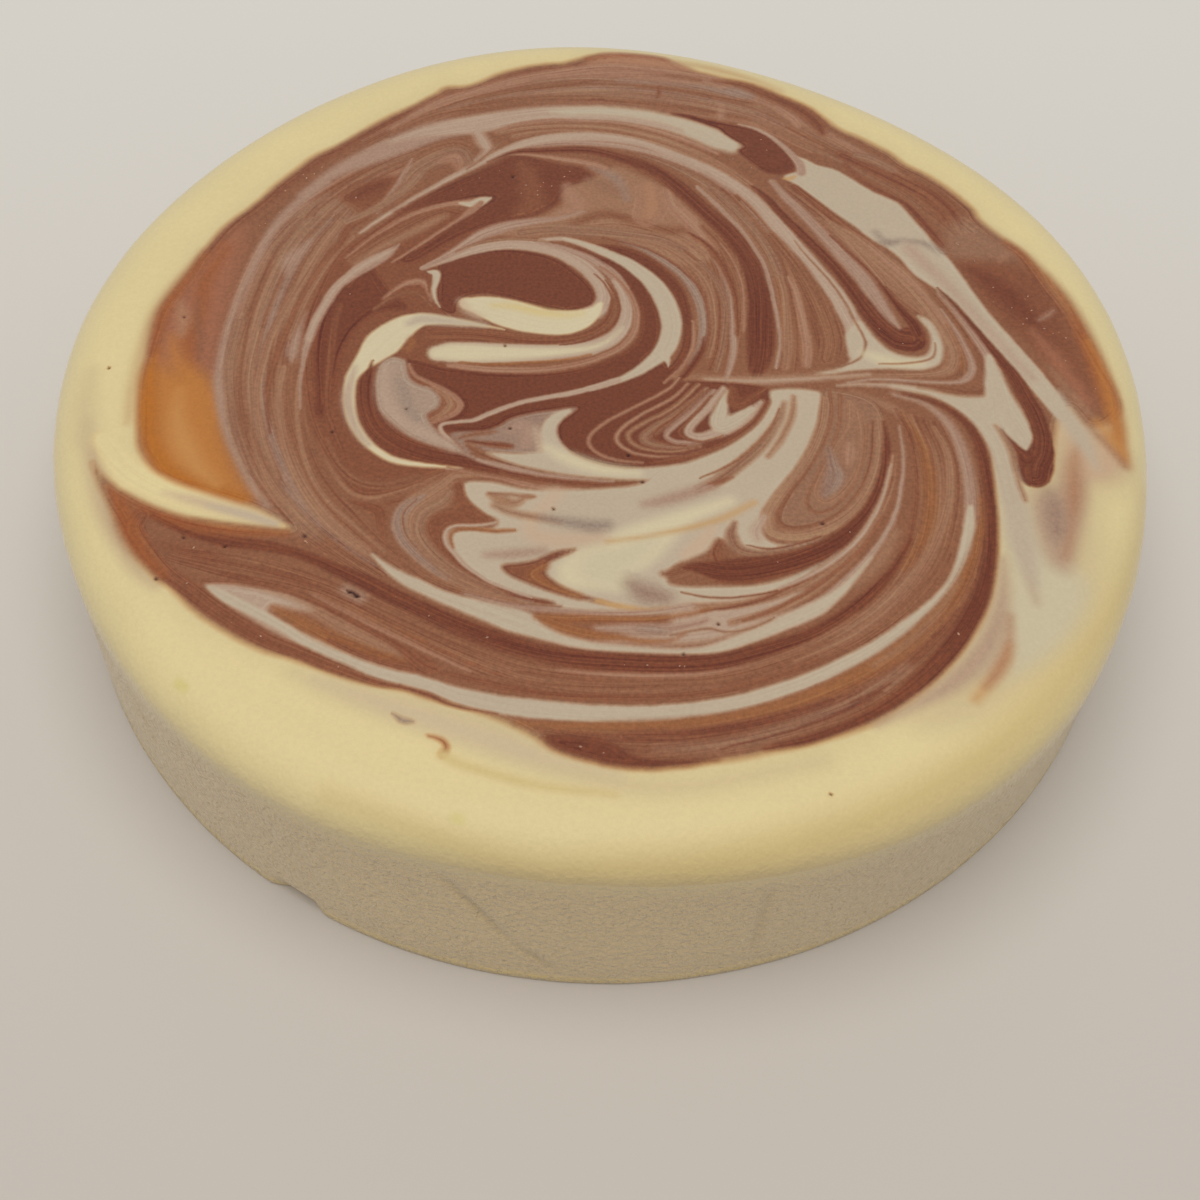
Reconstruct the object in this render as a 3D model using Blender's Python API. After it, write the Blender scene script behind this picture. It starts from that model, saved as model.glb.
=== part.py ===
"""Marble cheesecake, baked in a round tin and turned out whole.

One solid: a low round body with a flat base, an upright side that shows the print of the tin, a soft
round shoulder and an almost flat top. The brown marbling lies flush in the top and is a colour only.
Metres, +Z up, origin at the middle of the flat base.
"""
import math

import bmesh
import bpy

# Driving dimensions
CAKE_DIAMETER = 0.2004
CAKE_HEIGHT = 0.0410
SHOULDER_WIDTH = 0.0094
SHOULDER_DROP = 0.0069
FOOT_BEVEL = 0.0006
TOP_HOLLOW = 0.0003

# The soft top edge isn't quite round: waves round the cake, height of a wave, direction of one crest in degrees
EDGE_WAVES = (
    (2, 0.00065, -42.0),
    (3, 0.00045, -33.0),
    (4, 0.00060, 29.0),
    (5, 0.00075, 24.0),
)
# Share of the side's height, from the foot, over which the foot's true circle turns into that wavy edge
WAVES_START = 0.15

# A chip is missing from the foot where the cake was lifted off its tin
CHIP_DIRECTION = -119.5
CHIP_WIDTH = 0.0130
CHIP_HEIGHT = 0.0052
CHIP_DEPTH = 0.0024

# Faces
STEPS_ROUND = 160
SIDE_RINGS = 8
SHOULDER_RINGS = 8
TOP_RINGS = 6

CUSTARD_YELLOW = (0.72, 0.59, 0.31, 1.0)
CUSTARD_ROUGHNESS = 0.45

FOOT_RADIUS = CAKE_DIAMETER / 2
SIDE_HEIGHT = CAKE_HEIGHT - SHOULDER_DROP


def clear_scene():
    for thing in list(bpy.data.objects):
        bpy.data.objects.remove(thing)


def smooth_step(share):
    share = min(1.0, max(0.0, share))
    return share * share * (3 - 2 * share)


def edge_wave(angle):
    """How far the top edge stands out beyond the foot's circle in this direction."""
    return sum(height * math.cos(count * (angle - math.radians(crest))) for count, height, crest in EDGE_WAVES)


def body_radius(angle, z):
    """The upright side's radius at a height, waves and chip included."""
    share = (z / SIDE_HEIGHT - WAVES_START) / (1 - WAVES_START)
    radius = FOOT_RADIUS + edge_wave(angle) * smooth_step(share)
    along = math.remainder(angle - math.radians(CHIP_DIRECTION), 2 * math.pi) * FOOT_RADIUS
    across = 1 - smooth_step(abs(along) / (CHIP_WIDTH / 2))
    return radius - CHIP_DEPTH * across * (1 - smooth_step(z / CHIP_HEIGHT))


def ring_profile(angle):
    """(radius, height) of each ring of the body in this direction, from the foot's edge to the top's last ring."""
    points = [(body_radius(angle, 0.0) - FOOT_BEVEL, 0.0)]
    for step in range(SIDE_RINGS + 1):
        rise = (step / SIDE_RINGS) ** 1.4
        z = FOOT_BEVEL + (SIDE_HEIGHT - FOOT_BEVEL) * rise
        points.append((body_radius(angle, z), z))
    flat_radius = body_radius(angle, SIDE_HEIGHT) - SHOULDER_WIDTH
    for step in range(1, SHOULDER_RINGS + 1):
        turn = math.pi / 2 * step / SHOULDER_RINGS
        points.append((flat_radius + SHOULDER_WIDTH * math.cos(turn), SIDE_HEIGHT + SHOULDER_DROP * math.sin(turn)))
    for step in range(1, TOP_RINGS):
        share = 1 - step / TOP_RINGS
        points.append((flat_radius * share, CAKE_HEIGHT - TOP_HOLLOW * (1 - share * share)))
    return points


def cake_mesh():
    shape = bmesh.new()
    columns = []
    for step in range(STEPS_ROUND):
        angle = 2 * math.pi * step / STEPS_ROUND
        columns.append([
            shape.verts.new((radius * math.cos(angle), radius * math.sin(angle), z))
            for radius, z in ring_profile(angle)
        ])
    middle = shape.verts.new((0.0, 0.0, CAKE_HEIGHT - TOP_HOLLOW))
    for column, following in zip(columns, columns[1:] + columns[:1]):
        for level in range(len(column) - 1):
            shape.faces.new((column[level], following[level], following[level + 1], column[level + 1]))
        shape.faces.new((column[-1], following[-1], middle))
    shape.faces.new([column[0] for column in reversed(columns)])
    bmesh.ops.recalc_face_normals(shape, faces=shape.faces)
    mesh = bpy.data.meshes.new("cheesecake")
    shape.to_mesh(mesh)
    shape.free()
    mesh.shade_smooth()
    mesh.set_sharp_from_angle(angle=math.radians(40))
    return mesh


def custard_material():
    material = bpy.data.materials.new("custard_yellow")
    material.use_nodes = True
    shader = material.node_tree.nodes["Principled BSDF"]
    shader.inputs["Base Color"].default_value = CUSTARD_YELLOW
    shader.inputs["Roughness"].default_value = CUSTARD_ROUGHNESS
    shader.inputs["Metallic"].default_value = 0.0
    return material


def build_cheesecake():
    cake = bpy.data.objects.new("cheesecake", cake_mesh())
    cake.data.materials.append(custard_material())
    bpy.context.scene.collection.objects.link(cake)
    return cake


clear_scene()
build_cheesecake()
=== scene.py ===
"""Marble cheesecake: the dressed model.

A pale custard cake with cocoa marbling that lies flush in its top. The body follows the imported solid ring
by ring. The marbling is painted as streaks and patches in millimetres on the plan of the top, X to the right
and Y away from the viewer. Each shape is kept in the corners of the faces that it crosses, as an offset from
its middle line and a half width, so that the material draws its edge sharper than the faces are.
"""
import math

import bpy
import numpy as np
from mathutils import Matrix, Vector, noise


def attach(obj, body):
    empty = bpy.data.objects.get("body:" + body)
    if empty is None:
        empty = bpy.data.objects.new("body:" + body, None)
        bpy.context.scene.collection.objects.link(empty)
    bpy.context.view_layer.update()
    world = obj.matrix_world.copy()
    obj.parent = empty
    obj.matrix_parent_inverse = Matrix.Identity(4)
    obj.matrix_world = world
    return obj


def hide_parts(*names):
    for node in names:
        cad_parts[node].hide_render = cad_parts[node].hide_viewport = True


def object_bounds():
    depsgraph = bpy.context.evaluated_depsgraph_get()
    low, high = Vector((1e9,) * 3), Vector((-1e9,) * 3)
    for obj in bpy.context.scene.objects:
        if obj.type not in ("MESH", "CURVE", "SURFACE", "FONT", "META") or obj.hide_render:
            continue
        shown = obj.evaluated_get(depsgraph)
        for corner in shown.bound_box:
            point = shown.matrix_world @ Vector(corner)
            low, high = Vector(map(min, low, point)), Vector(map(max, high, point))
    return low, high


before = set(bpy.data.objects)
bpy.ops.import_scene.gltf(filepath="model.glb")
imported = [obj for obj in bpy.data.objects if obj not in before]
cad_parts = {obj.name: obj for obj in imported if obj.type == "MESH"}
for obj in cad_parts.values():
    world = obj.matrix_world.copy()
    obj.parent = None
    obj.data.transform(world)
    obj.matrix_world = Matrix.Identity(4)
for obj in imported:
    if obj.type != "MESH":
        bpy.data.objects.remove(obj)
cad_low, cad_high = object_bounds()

MM = 0.001
PICTURE_SIDE = 1200

# Form of the body in millimetres, as in the part's source
CAKE_HEIGHT = (cad_high.z - cad_low.z) / MM
CAKE_DIAMETER = 200.4
SHOULDER_WIDTH = 9.4
SHOULDER_DROP = 6.9
FOOT_BEVEL = 0.6
TOP_HOLLOW = 0.3
EDGE_WAVES = ((2, 0.65, -42.0), (3, 0.45, -33.0), (4, 0.60, 29.0), (5, 0.75, 24.0))
WAVES_START = 0.15
CHIP_DIRECTION = -119.5
CHIP_WIDTH = 13.0
CHIP_HEIGHT = 5.2
CHIP_DEPTH = 2.4
FOOT_RADIUS = CAKE_DIAMETER / 2
SIDE_HEIGHT = CAKE_HEIGHT - SHOULDER_DROP

# Rings of faces: the top's ring number n has 6 n points, and the last one sets the count for the wall
TOP_RINGS = 140
SHOULDER_RINGS = 16
SIDE_RINGS = 26
POINTS_ROUND = 6 * TOP_RINGS


def smooth_step(share):
    """Rises smoothly from 0 to 1 as the share does."""
    share = np.clip(share, 0.0, 1.0)
    return share * share * (3 - 2 * share)


def edge_wave(angle):
    """How far the top edge stands out beyond the foot's circle in this direction."""
    return sum(height * np.cos(count * (angle - math.radians(crest))) for count, height, crest in EDGE_WAVES)


def turn_between(angle, direction):
    """Signed turn from a direction in degrees to an angle in radians, within half a turn."""
    return (angle - math.radians(direction) + math.pi) % (2 * math.pi) - math.pi


def body_radius(angle, z):
    """The upright side's radius at a height, waves and chip included."""
    share = (z / SIDE_HEIGHT - WAVES_START) / (1 - WAVES_START)
    radius = FOOT_RADIUS + edge_wave(angle) * smooth_step(share)
    along = turn_between(angle, CHIP_DIRECTION) * FOOT_RADIUS
    across = 1 - smooth_step(np.abs(along) / (CHIP_WIDTH / 2))
    return radius - CHIP_DEPTH * across * (1 - smooth_step(z / CHIP_HEIGHT))


def flat_radius(angle):
    """Where the flat top ends and the shoulder starts."""
    return body_radius(angle, SIDE_HEIGHT) - SHOULDER_WIDTH


# Relief of the side in millimetres: the print of the tin is a fine pebble on slow dents
PEBBLE_SIZE = 3.2
PEBBLE_DEPTH = 0.16
DENT_SIZE = 17.0
DENT_DEPTH = 0.30
RELIEF_START = 1.5

# Creases in the side: direction in degrees and height at the upper and the lower end, width and depth
CREASES = (
    ((-103.4, 31.0), (-96.3, 12.0), 1.5, 0.60),
    ((-96.3, 12.0), (-92.6, 5.0), 1.4, 0.50),
    ((-73.3, 32.0), (-73.8, 5.0), 1.3, 0.45),
    ((-140.0, 27.0), (-137.5, 15.0), 1.4, 0.40),
)

# A crease's depth follows a half wave along it, less this share of the wave at each end
CREASE_END = 0.08

# Painted shade in the creases: the share of the light lost, painted into the side's colour, for each
# millimetre that a crease is deep
CREASE_SHADE = 0.22

# Open bubbles in the top: place, and how deep. Each is pressed into the top and gets a dot of painted shade
PINHOLES = (
    (-35.6, -9.7, 0.35), (-16.8, -13.3, 0.30), (-48.1, -15.9, 0.30), (-49.8, -39.3, 0.35),
    (-8.2, -31.2, 0.30), (-19.0, 6.8, 0.25), (4.4, -18.4, 0.50), (7.0, -24.3, 0.30),
    (38.0, -32.0, 0.30), (14.3, -60.1, 0.30), (-78.9, 10.5, 0.30), (-70.0, -40.8, 0.30),
    (-62.8, -42.3, 0.30), (-73.0, -49.6, 0.35), (20.0, -53.8, 0.45), (-40.8, -50.6, 0.60),
    (-39.6, -51.3, 0.60), (-90.1, -3.1, 0.35), (37.0, -84.8, 0.35), (-20.5, 53.3, 0.40),
)
# The dot of painted shade in each bubble: its softness, its least radius, and how far it widens with the
# bubble's depth
PINHOLE_SOFTNESS = 0.3
PINHOLE_RADIUS = 0.2
PINHOLE_SPREAD = 0.25


def ring_angles(count):
    """Directions of the points of one ring, in radians."""
    return 2 * math.pi * np.arange(count) / count


def top_points():
    """The flat top's points: one in the middle, then ring after ring."""
    points = [(0.0, 0.0, CAKE_HEIGHT - TOP_HOLLOW)]
    for ring in range(1, TOP_RINGS + 1):
        share = ring / TOP_RINGS
        angles = ring_angles(6 * ring)
        radii = flat_radius(angles) * share
        height = CAKE_HEIGHT - TOP_HOLLOW * (1 - share * share)
        points.extend(zip(radii * np.cos(angles), radii * np.sin(angles), np.full(len(angles), height)))
    return points


def top_faces():
    """Triangles between each ring of the top and the one inside it, sector by sector."""
    faces = []
    for ring in range(1, TOP_RINGS + 1):
        outer = 1 + 3 * ring * (ring - 1)
        inner = max(0, 1 + 3 * (ring - 1) * (ring - 2)) if ring > 1 else 0
        outer_count = 6 * ring
        inner_count = max(1, 6 * (ring - 1))
        for sector in range(6):
            for step in range(ring):
                near = outer + sector * ring + step
                following = outer + (sector * ring + step + 1) % outer_count
                behind = inner + (sector * (ring - 1) + step) % inner_count
                faces.append((near, following, behind))
                if step < ring - 1:
                    behind_following = inner + (sector * (ring - 1) + step + 1) % inner_count
                    faces.append((behind, following, behind_following))
    return faces


def crease_depth(angle, z):
    """How deep the creases cut into the side here, on the side unrolled flat."""
    depth = np.zeros_like(angle)
    unrolled = np.stack((turn_between(angle, 0.0) * FOOT_RADIUS, np.broadcast_to(z, angle.shape)), axis=-1)
    for upper, lower, width, most in CREASES:
        start = np.array((math.radians(upper[0]) * FOOT_RADIUS, upper[1]))
        run = np.array((math.radians(lower[0]) * FOOT_RADIUS, lower[1])) - start
        here = unrolled - start
        share = np.clip((here @ run) / (run @ run), 0, 1)
        gap = np.linalg.norm(here - share[:, None] * run, axis=1)
        along = np.sin(math.pi * (CREASE_END + (1 - 2 * CREASE_END) * share))
        depth = np.maximum(depth, most * (1 - smooth_step(gap / width)) * along)
    return depth


def side_relief(places):
    """How far each point of the wall is pressed in by the print of the tin."""
    pressed = np.empty(len(places))
    for index, place in enumerate(places):
        point = Vector(place)
        pebble = 0.5 + 0.5 * noise.noise(point / PEBBLE_SIZE)
        dent = 0.5 + 0.5 * noise.noise(point / DENT_SIZE + Vector((7.0, 3.0, 1.0)))
        pressed[index] = PEBBLE_DEPTH * pebble + DENT_DEPTH * dent
    return pressed


def wall_points():
    """Rings of the shoulder and the side, from the top's last ring down to the base."""
    angles = ring_angles(POINTS_ROUND)
    points = []
    for ring in range(1, SHOULDER_RINGS + 1):
        turn = math.pi / 2 * (1 - ring / SHOULDER_RINGS)
        radii = flat_radius(angles) + SHOULDER_WIDTH * math.cos(turn)
        height = SIDE_HEIGHT + SHOULDER_DROP * math.sin(turn)
        points.append((radii, height, smooth_step(ring / SHOULDER_RINGS)))
    for ring in range(1, SIDE_RINGS + 1):
        height = SIDE_HEIGHT + (FOOT_BEVEL - SIDE_HEIGHT) * ring / SIDE_RINGS
        points.append((body_radius(angles, height), height, smooth_step(height / RELIEF_START)))
    points.append((body_radius(angles, 0.0) - FOOT_BEVEL, 0.0, 0.0))
    rings = []
    for radii, height, share in points:
        heights = np.full(POINTS_ROUND, height)
        places = np.stack((radii * np.cos(angles), radii * np.sin(angles), heights), axis=1)
        radii = radii - share * (side_relief(places) + crease_depth(angles, height))
        rings.append(np.stack((radii * np.cos(angles), radii * np.sin(angles), heights), axis=1))
    return np.concatenate(rings)


def wall_faces(first_ring):
    """Two triangles between each pair of neighbours on neighbouring rings."""
    faces = []
    for ring in range(SHOULDER_RINGS + SIDE_RINGS + 1):
        upper = first_ring + ring * POINTS_ROUND
        lower = upper + POINTS_ROUND
        for step in range(POINTS_ROUND):
            following = (step + 1) % POINTS_ROUND
            faces.append((upper + step, lower + step, lower + following))
            faces.append((upper + step, lower + following, upper + following))
    return faces


def press_pinholes(points):
    """Each open bubble draws the nearest point of the top to its place and down."""
    wall = points[:, 2] < SIDE_HEIGHT
    for x, y, depth in PINHOLES:
        distance = np.hypot(points[:, 0] - x, points[:, 1] - y)
        nearest = int(np.argmin(np.where(wall, FAR_AWAY, distance)))
        points[nearest] = (x, y, points[nearest][2] - depth)


def body_shape():
    """Points and triangles of the whole body but its base, and the base's one ring."""
    points = np.concatenate((np.array(top_points()), wall_points()))
    first_ring = 1 + 3 * TOP_RINGS * (TOP_RINGS - 1)
    triangles = np.array(top_faces() + wall_faces(first_ring))
    press_pinholes(points)
    base = list(range(len(points) - POINTS_ROUND, len(points)))[::-1]
    return points, triangles, base


# Light that the gloss adds all over, which counts most in the dark tones
GLOSS_VEIL = 0.018

# A softer edge than this is a stain: it tints what lies under it and keeps no edge of its own. The fade of
# any other edge is widened by the factor
STAIN_SOFTNESS = 1.8
SOFTEN = 2.7
EDGE_WANDER = 0.15
LEAST_HALF_WIDTH = 0.02

# Shapes that one triangle can keep, steps between two points of a curve, and the steps looked at together
SLOTS = 3
CURVE_STEPS = 5
STRETCH = 8

# Lengths that stand for the longest side of a triangle, the open ground and anything out of reach
LONGEST_EDGE = 1.0
OPEN_GROUND = 20.0
FAR_AWAY = 1000.0

# A free slot: its offset is far off, its shape has no width, and its fade may be anything
FREE_SLOT = (OPEN_GROUND, 0.0, 0.1)

# Half widths and softness of the lines in a sheaf
SHEAF_THIN = 0.14
SHEAF_WIDE = 0.50
SHEAF_SOFTNESS = 0.5


def linear(colour):
    """Linear light of a colour given as the eye reads it on a screen, 0 to 255."""
    shares = np.array(colour) / 255
    return np.where(shares <= 0.04045, shares / 12.92, ((shares + 0.055) / 1.055) ** 2.4)


def pigment(colour):
    """The pigment that looks like this colour once the gloss has laid its thin veil over it."""
    return np.maximum(linear(colour) - GLOSS_VEIL, 0.003) / (1 - GLOSS_VEIL)


def smoothed(points, closed):
    """A smooth curve through the points, with the half width carried along where there is one."""
    points = np.array(points, dtype=float)
    if closed:
        guides = np.vstack((points[-1], points, points[0], points[1]))
    else:
        guides = np.vstack((2 * points[0] - points[1], points, 2 * points[-1] - points[-2]))
    shares = np.linspace(0, 1, CURVE_STEPS, endpoint=False)[:, None]
    curve = []
    for before, start, end, after in zip(guides, guides[1:], guides[2:], guides[3:]):
        bend = (before * 2 - start * 5 + end * 4 - after) * shares ** 2
        twist = (start * 3 - before - end * 3 + after) * shares ** 3
        curve.append(0.5 * (start * 2 + (end - before) * shares + bend + twist))
    curve.append(points[:1] if closed else points[-1:])
    return np.vstack(curve)


class Painter:
    """Paints the marbling, in order, into the corners of the top's triangles."""

    def __init__(self, points, triangles, ground):
        self.plan = points[:, :2]
        self.triangles = triangles
        corners = (len(triangles), 3)
        self.ground_tone = np.tile(pigment(ground), corners + (1,))
        self.ground_line = np.zeros(corners + (3,))
        self.edge = [np.tile(FREE_SLOT, corners + (1,)) for slot in range(SLOTS)]
        self.tone = [np.zeros(corners + (3,)) for slot in range(SLOTS)]
        self.seed = [np.zeros(len(triangles)) for slot in range(SLOTS)]
        self.used = np.zeros(len(triangles), dtype=int)
        self.shapes = 0
        order = np.argsort(self.plan[:, 1])
        self.by_height = order
        self.heights = self.plan[order, 1]

    def near_curve(self, curve, reach):
        """Distance, side and half width at the nearest stretch of a curve, for each point within reach."""
        distance = np.full(len(self.plan), FAR_AWAY)
        side = np.ones(len(self.plan))
        half_width = np.zeros(len(self.plan))
        for start in range(0, len(curve) - 1, STRETCH):
            piece = curve[start:start + STRETCH + 1]
            low = piece[:, :2].min(axis=0) - reach
            high = piece[:, :2].max(axis=0) + reach
            rows = slice(*np.searchsorted(self.heights, (low[1], high[1])))
            near = self.by_height[rows]
            near = near[(self.plan[near, 0] > low[0]) & (self.plan[near, 0] < high[0])]
            if not len(near):
                continue
            step = piece[1:, :2] - piece[:-1, :2]
            away = self.plan[near][:, None] - piece[None, :-1, :2]
            length = np.maximum((step ** 2).sum(axis=1), 1e-9)
            share = np.clip((away * step).sum(axis=2) / length, 0, 1)
            gaps = np.linalg.norm(away - share[..., None] * step, axis=2)
            best = gaps.argmin(axis=1)
            each = np.arange(len(near))
            gap = gaps[each, best]
            closer = gap < distance[near]
            turn = step[best, 0] * away[each, best, 1] - step[best, 1] * away[each, best, 0]
            width = piece[best, 2] + share[each, best] * (piece[best + 1, 2] - piece[best, 2])
            changed = near[closer]
            distance[changed] = gap[closer]
            side[changed] = np.where(turn < 0, -1.0, 1.0)[closer]
            half_width[changed] = width[closer]
        return distance, side, half_width

    def inside(self, curve):
        """True for each point that a closed curve goes round."""
        crossings = np.zeros(len(self.plan), dtype=int)
        for start, end in zip(curve[:-1], curve[1:]):
            low, high = sorted((start[1], end[1]))
            if high - low < 1e-9:
                continue
            rows = slice(*np.searchsorted(self.heights, (low, high)))
            near = self.by_height[rows]
            share = (self.plan[near, 1] - start[1]) / (end[1] - start[1])
            crossings[near] += self.plan[near, 0] < start[0] + share * (end[0] - start[0])
        return crossings % 2 == 1

    def streak(self, tone, softness, *points):
        """A streak along a curve, each point of which has its place and half width."""
        curve = smoothed(points, closed=False)
        curve[:, 2] = np.maximum(curve[:, 2], LEAST_HALF_WIDTH)
        reach = curve[:, 2].max() + softness + LONGEST_EDGE
        distance, side, half_width = self.near_curve(curve, reach)
        touched = np.flatnonzero((distance[self.triangles] < FAR_AWAY).all(axis=1))
        corners = self.triangles[touched]
        offset = (distance * side)[corners]
        jumps = np.ptp(offset, axis=1) > LONGEST_EDGE * 1.1
        offset[jumps] = np.abs(offset[jumps])
        self.lay(touched, offset, half_width[corners], tone, softness, 1.0)

    def sheaf(self, count, seed, tones, first, last):
        """Fine lines between two guides, each with its own width and tone, over a part of their length."""
        draw = np.random.default_rng(seed)
        first = smoothed(first, closed=False)[::2]
        last = smoothed(last, closed=False)[::2]
        self.rule_ground(seed, first, last)
        tones = tones.split()
        for line in range(count):
            place = (line + draw.uniform(0.1, 0.9)) / count
            sway = 0.5 / count * np.sin(np.arange(len(first)) * draw.uniform(0.2, 0.5) + draw.uniform(0, 6))
            path = first + (last - first) * (place + sway)[:, None]
            start = int(draw.uniform(0, 0.35) * len(path))
            end = max(start + 5, int(draw.uniform(0.55, 1.01) * len(path)))
            path = path[start:end]
            width = draw.uniform(SHEAF_THIN, SHEAF_WIDE)
            steps = np.arange(len(path))
            taper = np.minimum(1, np.minimum(steps + 0.3, len(path) - 0.7 - steps) / 4)
            tone = tones[draw.integers(len(tones))]
            self.streak(tone, SHEAF_SOFTNESS, *np.column_stack((path, width * taper)))

    def rule_ground(self, seed, first, last):
        """Tells the ground between two guides how far across it each corner lies, for the fine lines."""
        ring = np.vstack((first, last[::-1], first[:1]))
        within = np.flatnonzero(self.inside(ring)[self.triangles].all(axis=1))
        reach = np.linalg.norm(first - last, axis=1).max() + LONGEST_EDGE
        guides = [np.column_stack((guide, np.zeros(len(guide)))) for guide in (first, last)]
        near, far = [self.near_curve(guide, reach)[0] for guide in guides]
        width = np.linalg.norm(first - last, axis=1).mean()
        across = near / np.maximum(near + far, 1e-6) * width
        self.ground_line[within, :, 0] = across[self.triangles[within]]
        self.ground_line[within, :, 1] = seed
        self.ground_line[within, :, 2] = 1.0

    def patch(self, tone, softness, *points):
        """A filled outline, measured as if from a middle line that lies open ground inside its edge."""
        curve = smoothed(points, closed=True)
        outline = np.hstack((curve, np.zeros((len(curve), 1))))
        distance = self.near_curve(outline, softness + LONGEST_EDGE)[0]
        depth = np.where(self.inside(curve), 1, -1) * np.minimum(distance, OPEN_GROUND)
        touched = np.flatnonzero((depth[self.triangles] > -OPEN_GROUND).any(axis=1))
        offset = OPEN_GROUND - depth[self.triangles[touched]]
        self.lay(touched, offset, np.full_like(offset, OPEN_GROUND), tone, softness, 0.0)

    def dot(self, tone, softness, x, y, radius):
        """A round spot."""
        distance = np.hypot(self.plan[:, 0] - x, self.plan[:, 1] - y)
        touched = np.flatnonzero((distance[self.triangles] < radius + LONGEST_EDGE).any(axis=1))
        offset = distance[self.triangles[touched]]
        self.lay(touched, offset, np.full_like(offset, radius), tone, softness, 0.0)

    def lay(self, touched, offset, half_width, tone, softness, lined):
        """Lays one shape over the triangles: tints them, covers them, or keeps the shape in a free slot."""
        self.shapes += 1
        fade = softness / 2
        if softness < STAIN_SOFTNESS:
            fade *= SOFTEN
        colour = pigment(TONES[tone])
        cover = half_width - np.abs(offset)
        if softness >= STAIN_SOFTNESS:
            share = smooth_step((cover + fade) / (2 * fade))[..., None]
            self.ground_tone[touched] += share * (colour - self.ground_tone[touched])
            for tones in self.tone:
                tones[touched] += share * (colour - tones[touched])
            return
        crosses = (offset.min(axis=1) < 0) & (offset.max(axis=1) > 0)
        most = np.where(crosses, half_width.max(axis=1), cover.max(axis=1))
        whole = cover.min(axis=1) > fade + EDGE_WANDER
        part = (most > -fade - EDGE_WANDER) & ~whole
        covered = touched[whole]
        self.ground_tone[covered] = colour
        self.ground_line[covered, :, 0] = offset[whole]
        self.ground_line[covered, :, 1] = self.shapes
        self.ground_line[covered, :, 2] = lined
        self.used[covered] = 0
        for slot in range(SLOTS):
            self.edge[slot][covered] = FREE_SLOT
        crossed = touched[part]
        self.make_room(crossed)
        for slot in range(SLOTS):
            chosen = self.used[crossed] == slot
            rows = crossed[chosen]
            self.edge[slot][rows, :, 0] = offset[part][chosen]
            self.edge[slot][rows, :, 1] = half_width[part][chosen]
            self.edge[slot][rows, :, 2] = fade
            self.tone[slot][rows] = colour
            self.seed[slot][rows] = self.shapes
        self.used[crossed] += 1

    def make_room(self, crossed):
        """Where every slot is taken, the lowest shape is melted into the ground and the others move down."""
        full = crossed[self.used[crossed] == SLOTS]
        edge = self.edge[0][full]
        cover = edge[..., 1] - np.abs(edge[..., 0])
        share = smooth_step((cover + edge[..., 2]) / (2 * edge[..., 2]))[..., None]
        self.ground_tone[full] += share * (self.tone[0][full] - self.ground_tone[full])
        for slot in range(SLOTS - 1):
            self.edge[slot][full] = self.edge[slot + 1][full]
            self.tone[slot][full] = self.tone[slot + 1][full]
            self.seed[slot][full] = self.seed[slot + 1][full]
        self.used[full] = SLOTS - 1


# Tones as the eye reads them on a screen, 0 to 255
TONES = {
    "custard": (218, 201, 152),
    "butter": (206, 192, 160),
    "cream": (186, 169, 147),
    "pale": (178, 152, 132),
    "blush": (166, 134, 115),
    "lavender": (152, 123, 107),
    "haze": (193, 167, 141),
    "pink": (162, 120, 97),
    "mocha": (147, 107, 84),
    "tan": (155, 114, 88),
    "cocoa": (138, 92, 68),
    "brown": (131, 81, 59),
    "dark": (116, 66, 49),
    "gold": (150, 98, 64),
    "amber": (182, 119, 62),
    "rust": (152, 90, 55),
    "honey": (190, 152, 104),
    "grey": (148, 128, 114),
    "russet": (155, 101, 76),
    # painted shade inside the open bubbles and in the slit between two of them
    "hole_shade": (62, 40, 34),
    "sand": (203, 184, 142),
    "veil": (178, 150, 126),
    "milk": (198, 186, 156),
    "apricot": (190, 134, 78),
    "ochre": (206, 184, 130),
    "skin": (170, 124, 95),
    "linen": (195, 171, 141),
    "olive": (203, 192, 112),
    "syrup": (176, 108, 46),
    "ash": (200, 180, 150),
    "peach": (195, 165, 135),
    "lilac": (165, 140, 122),
}


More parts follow.
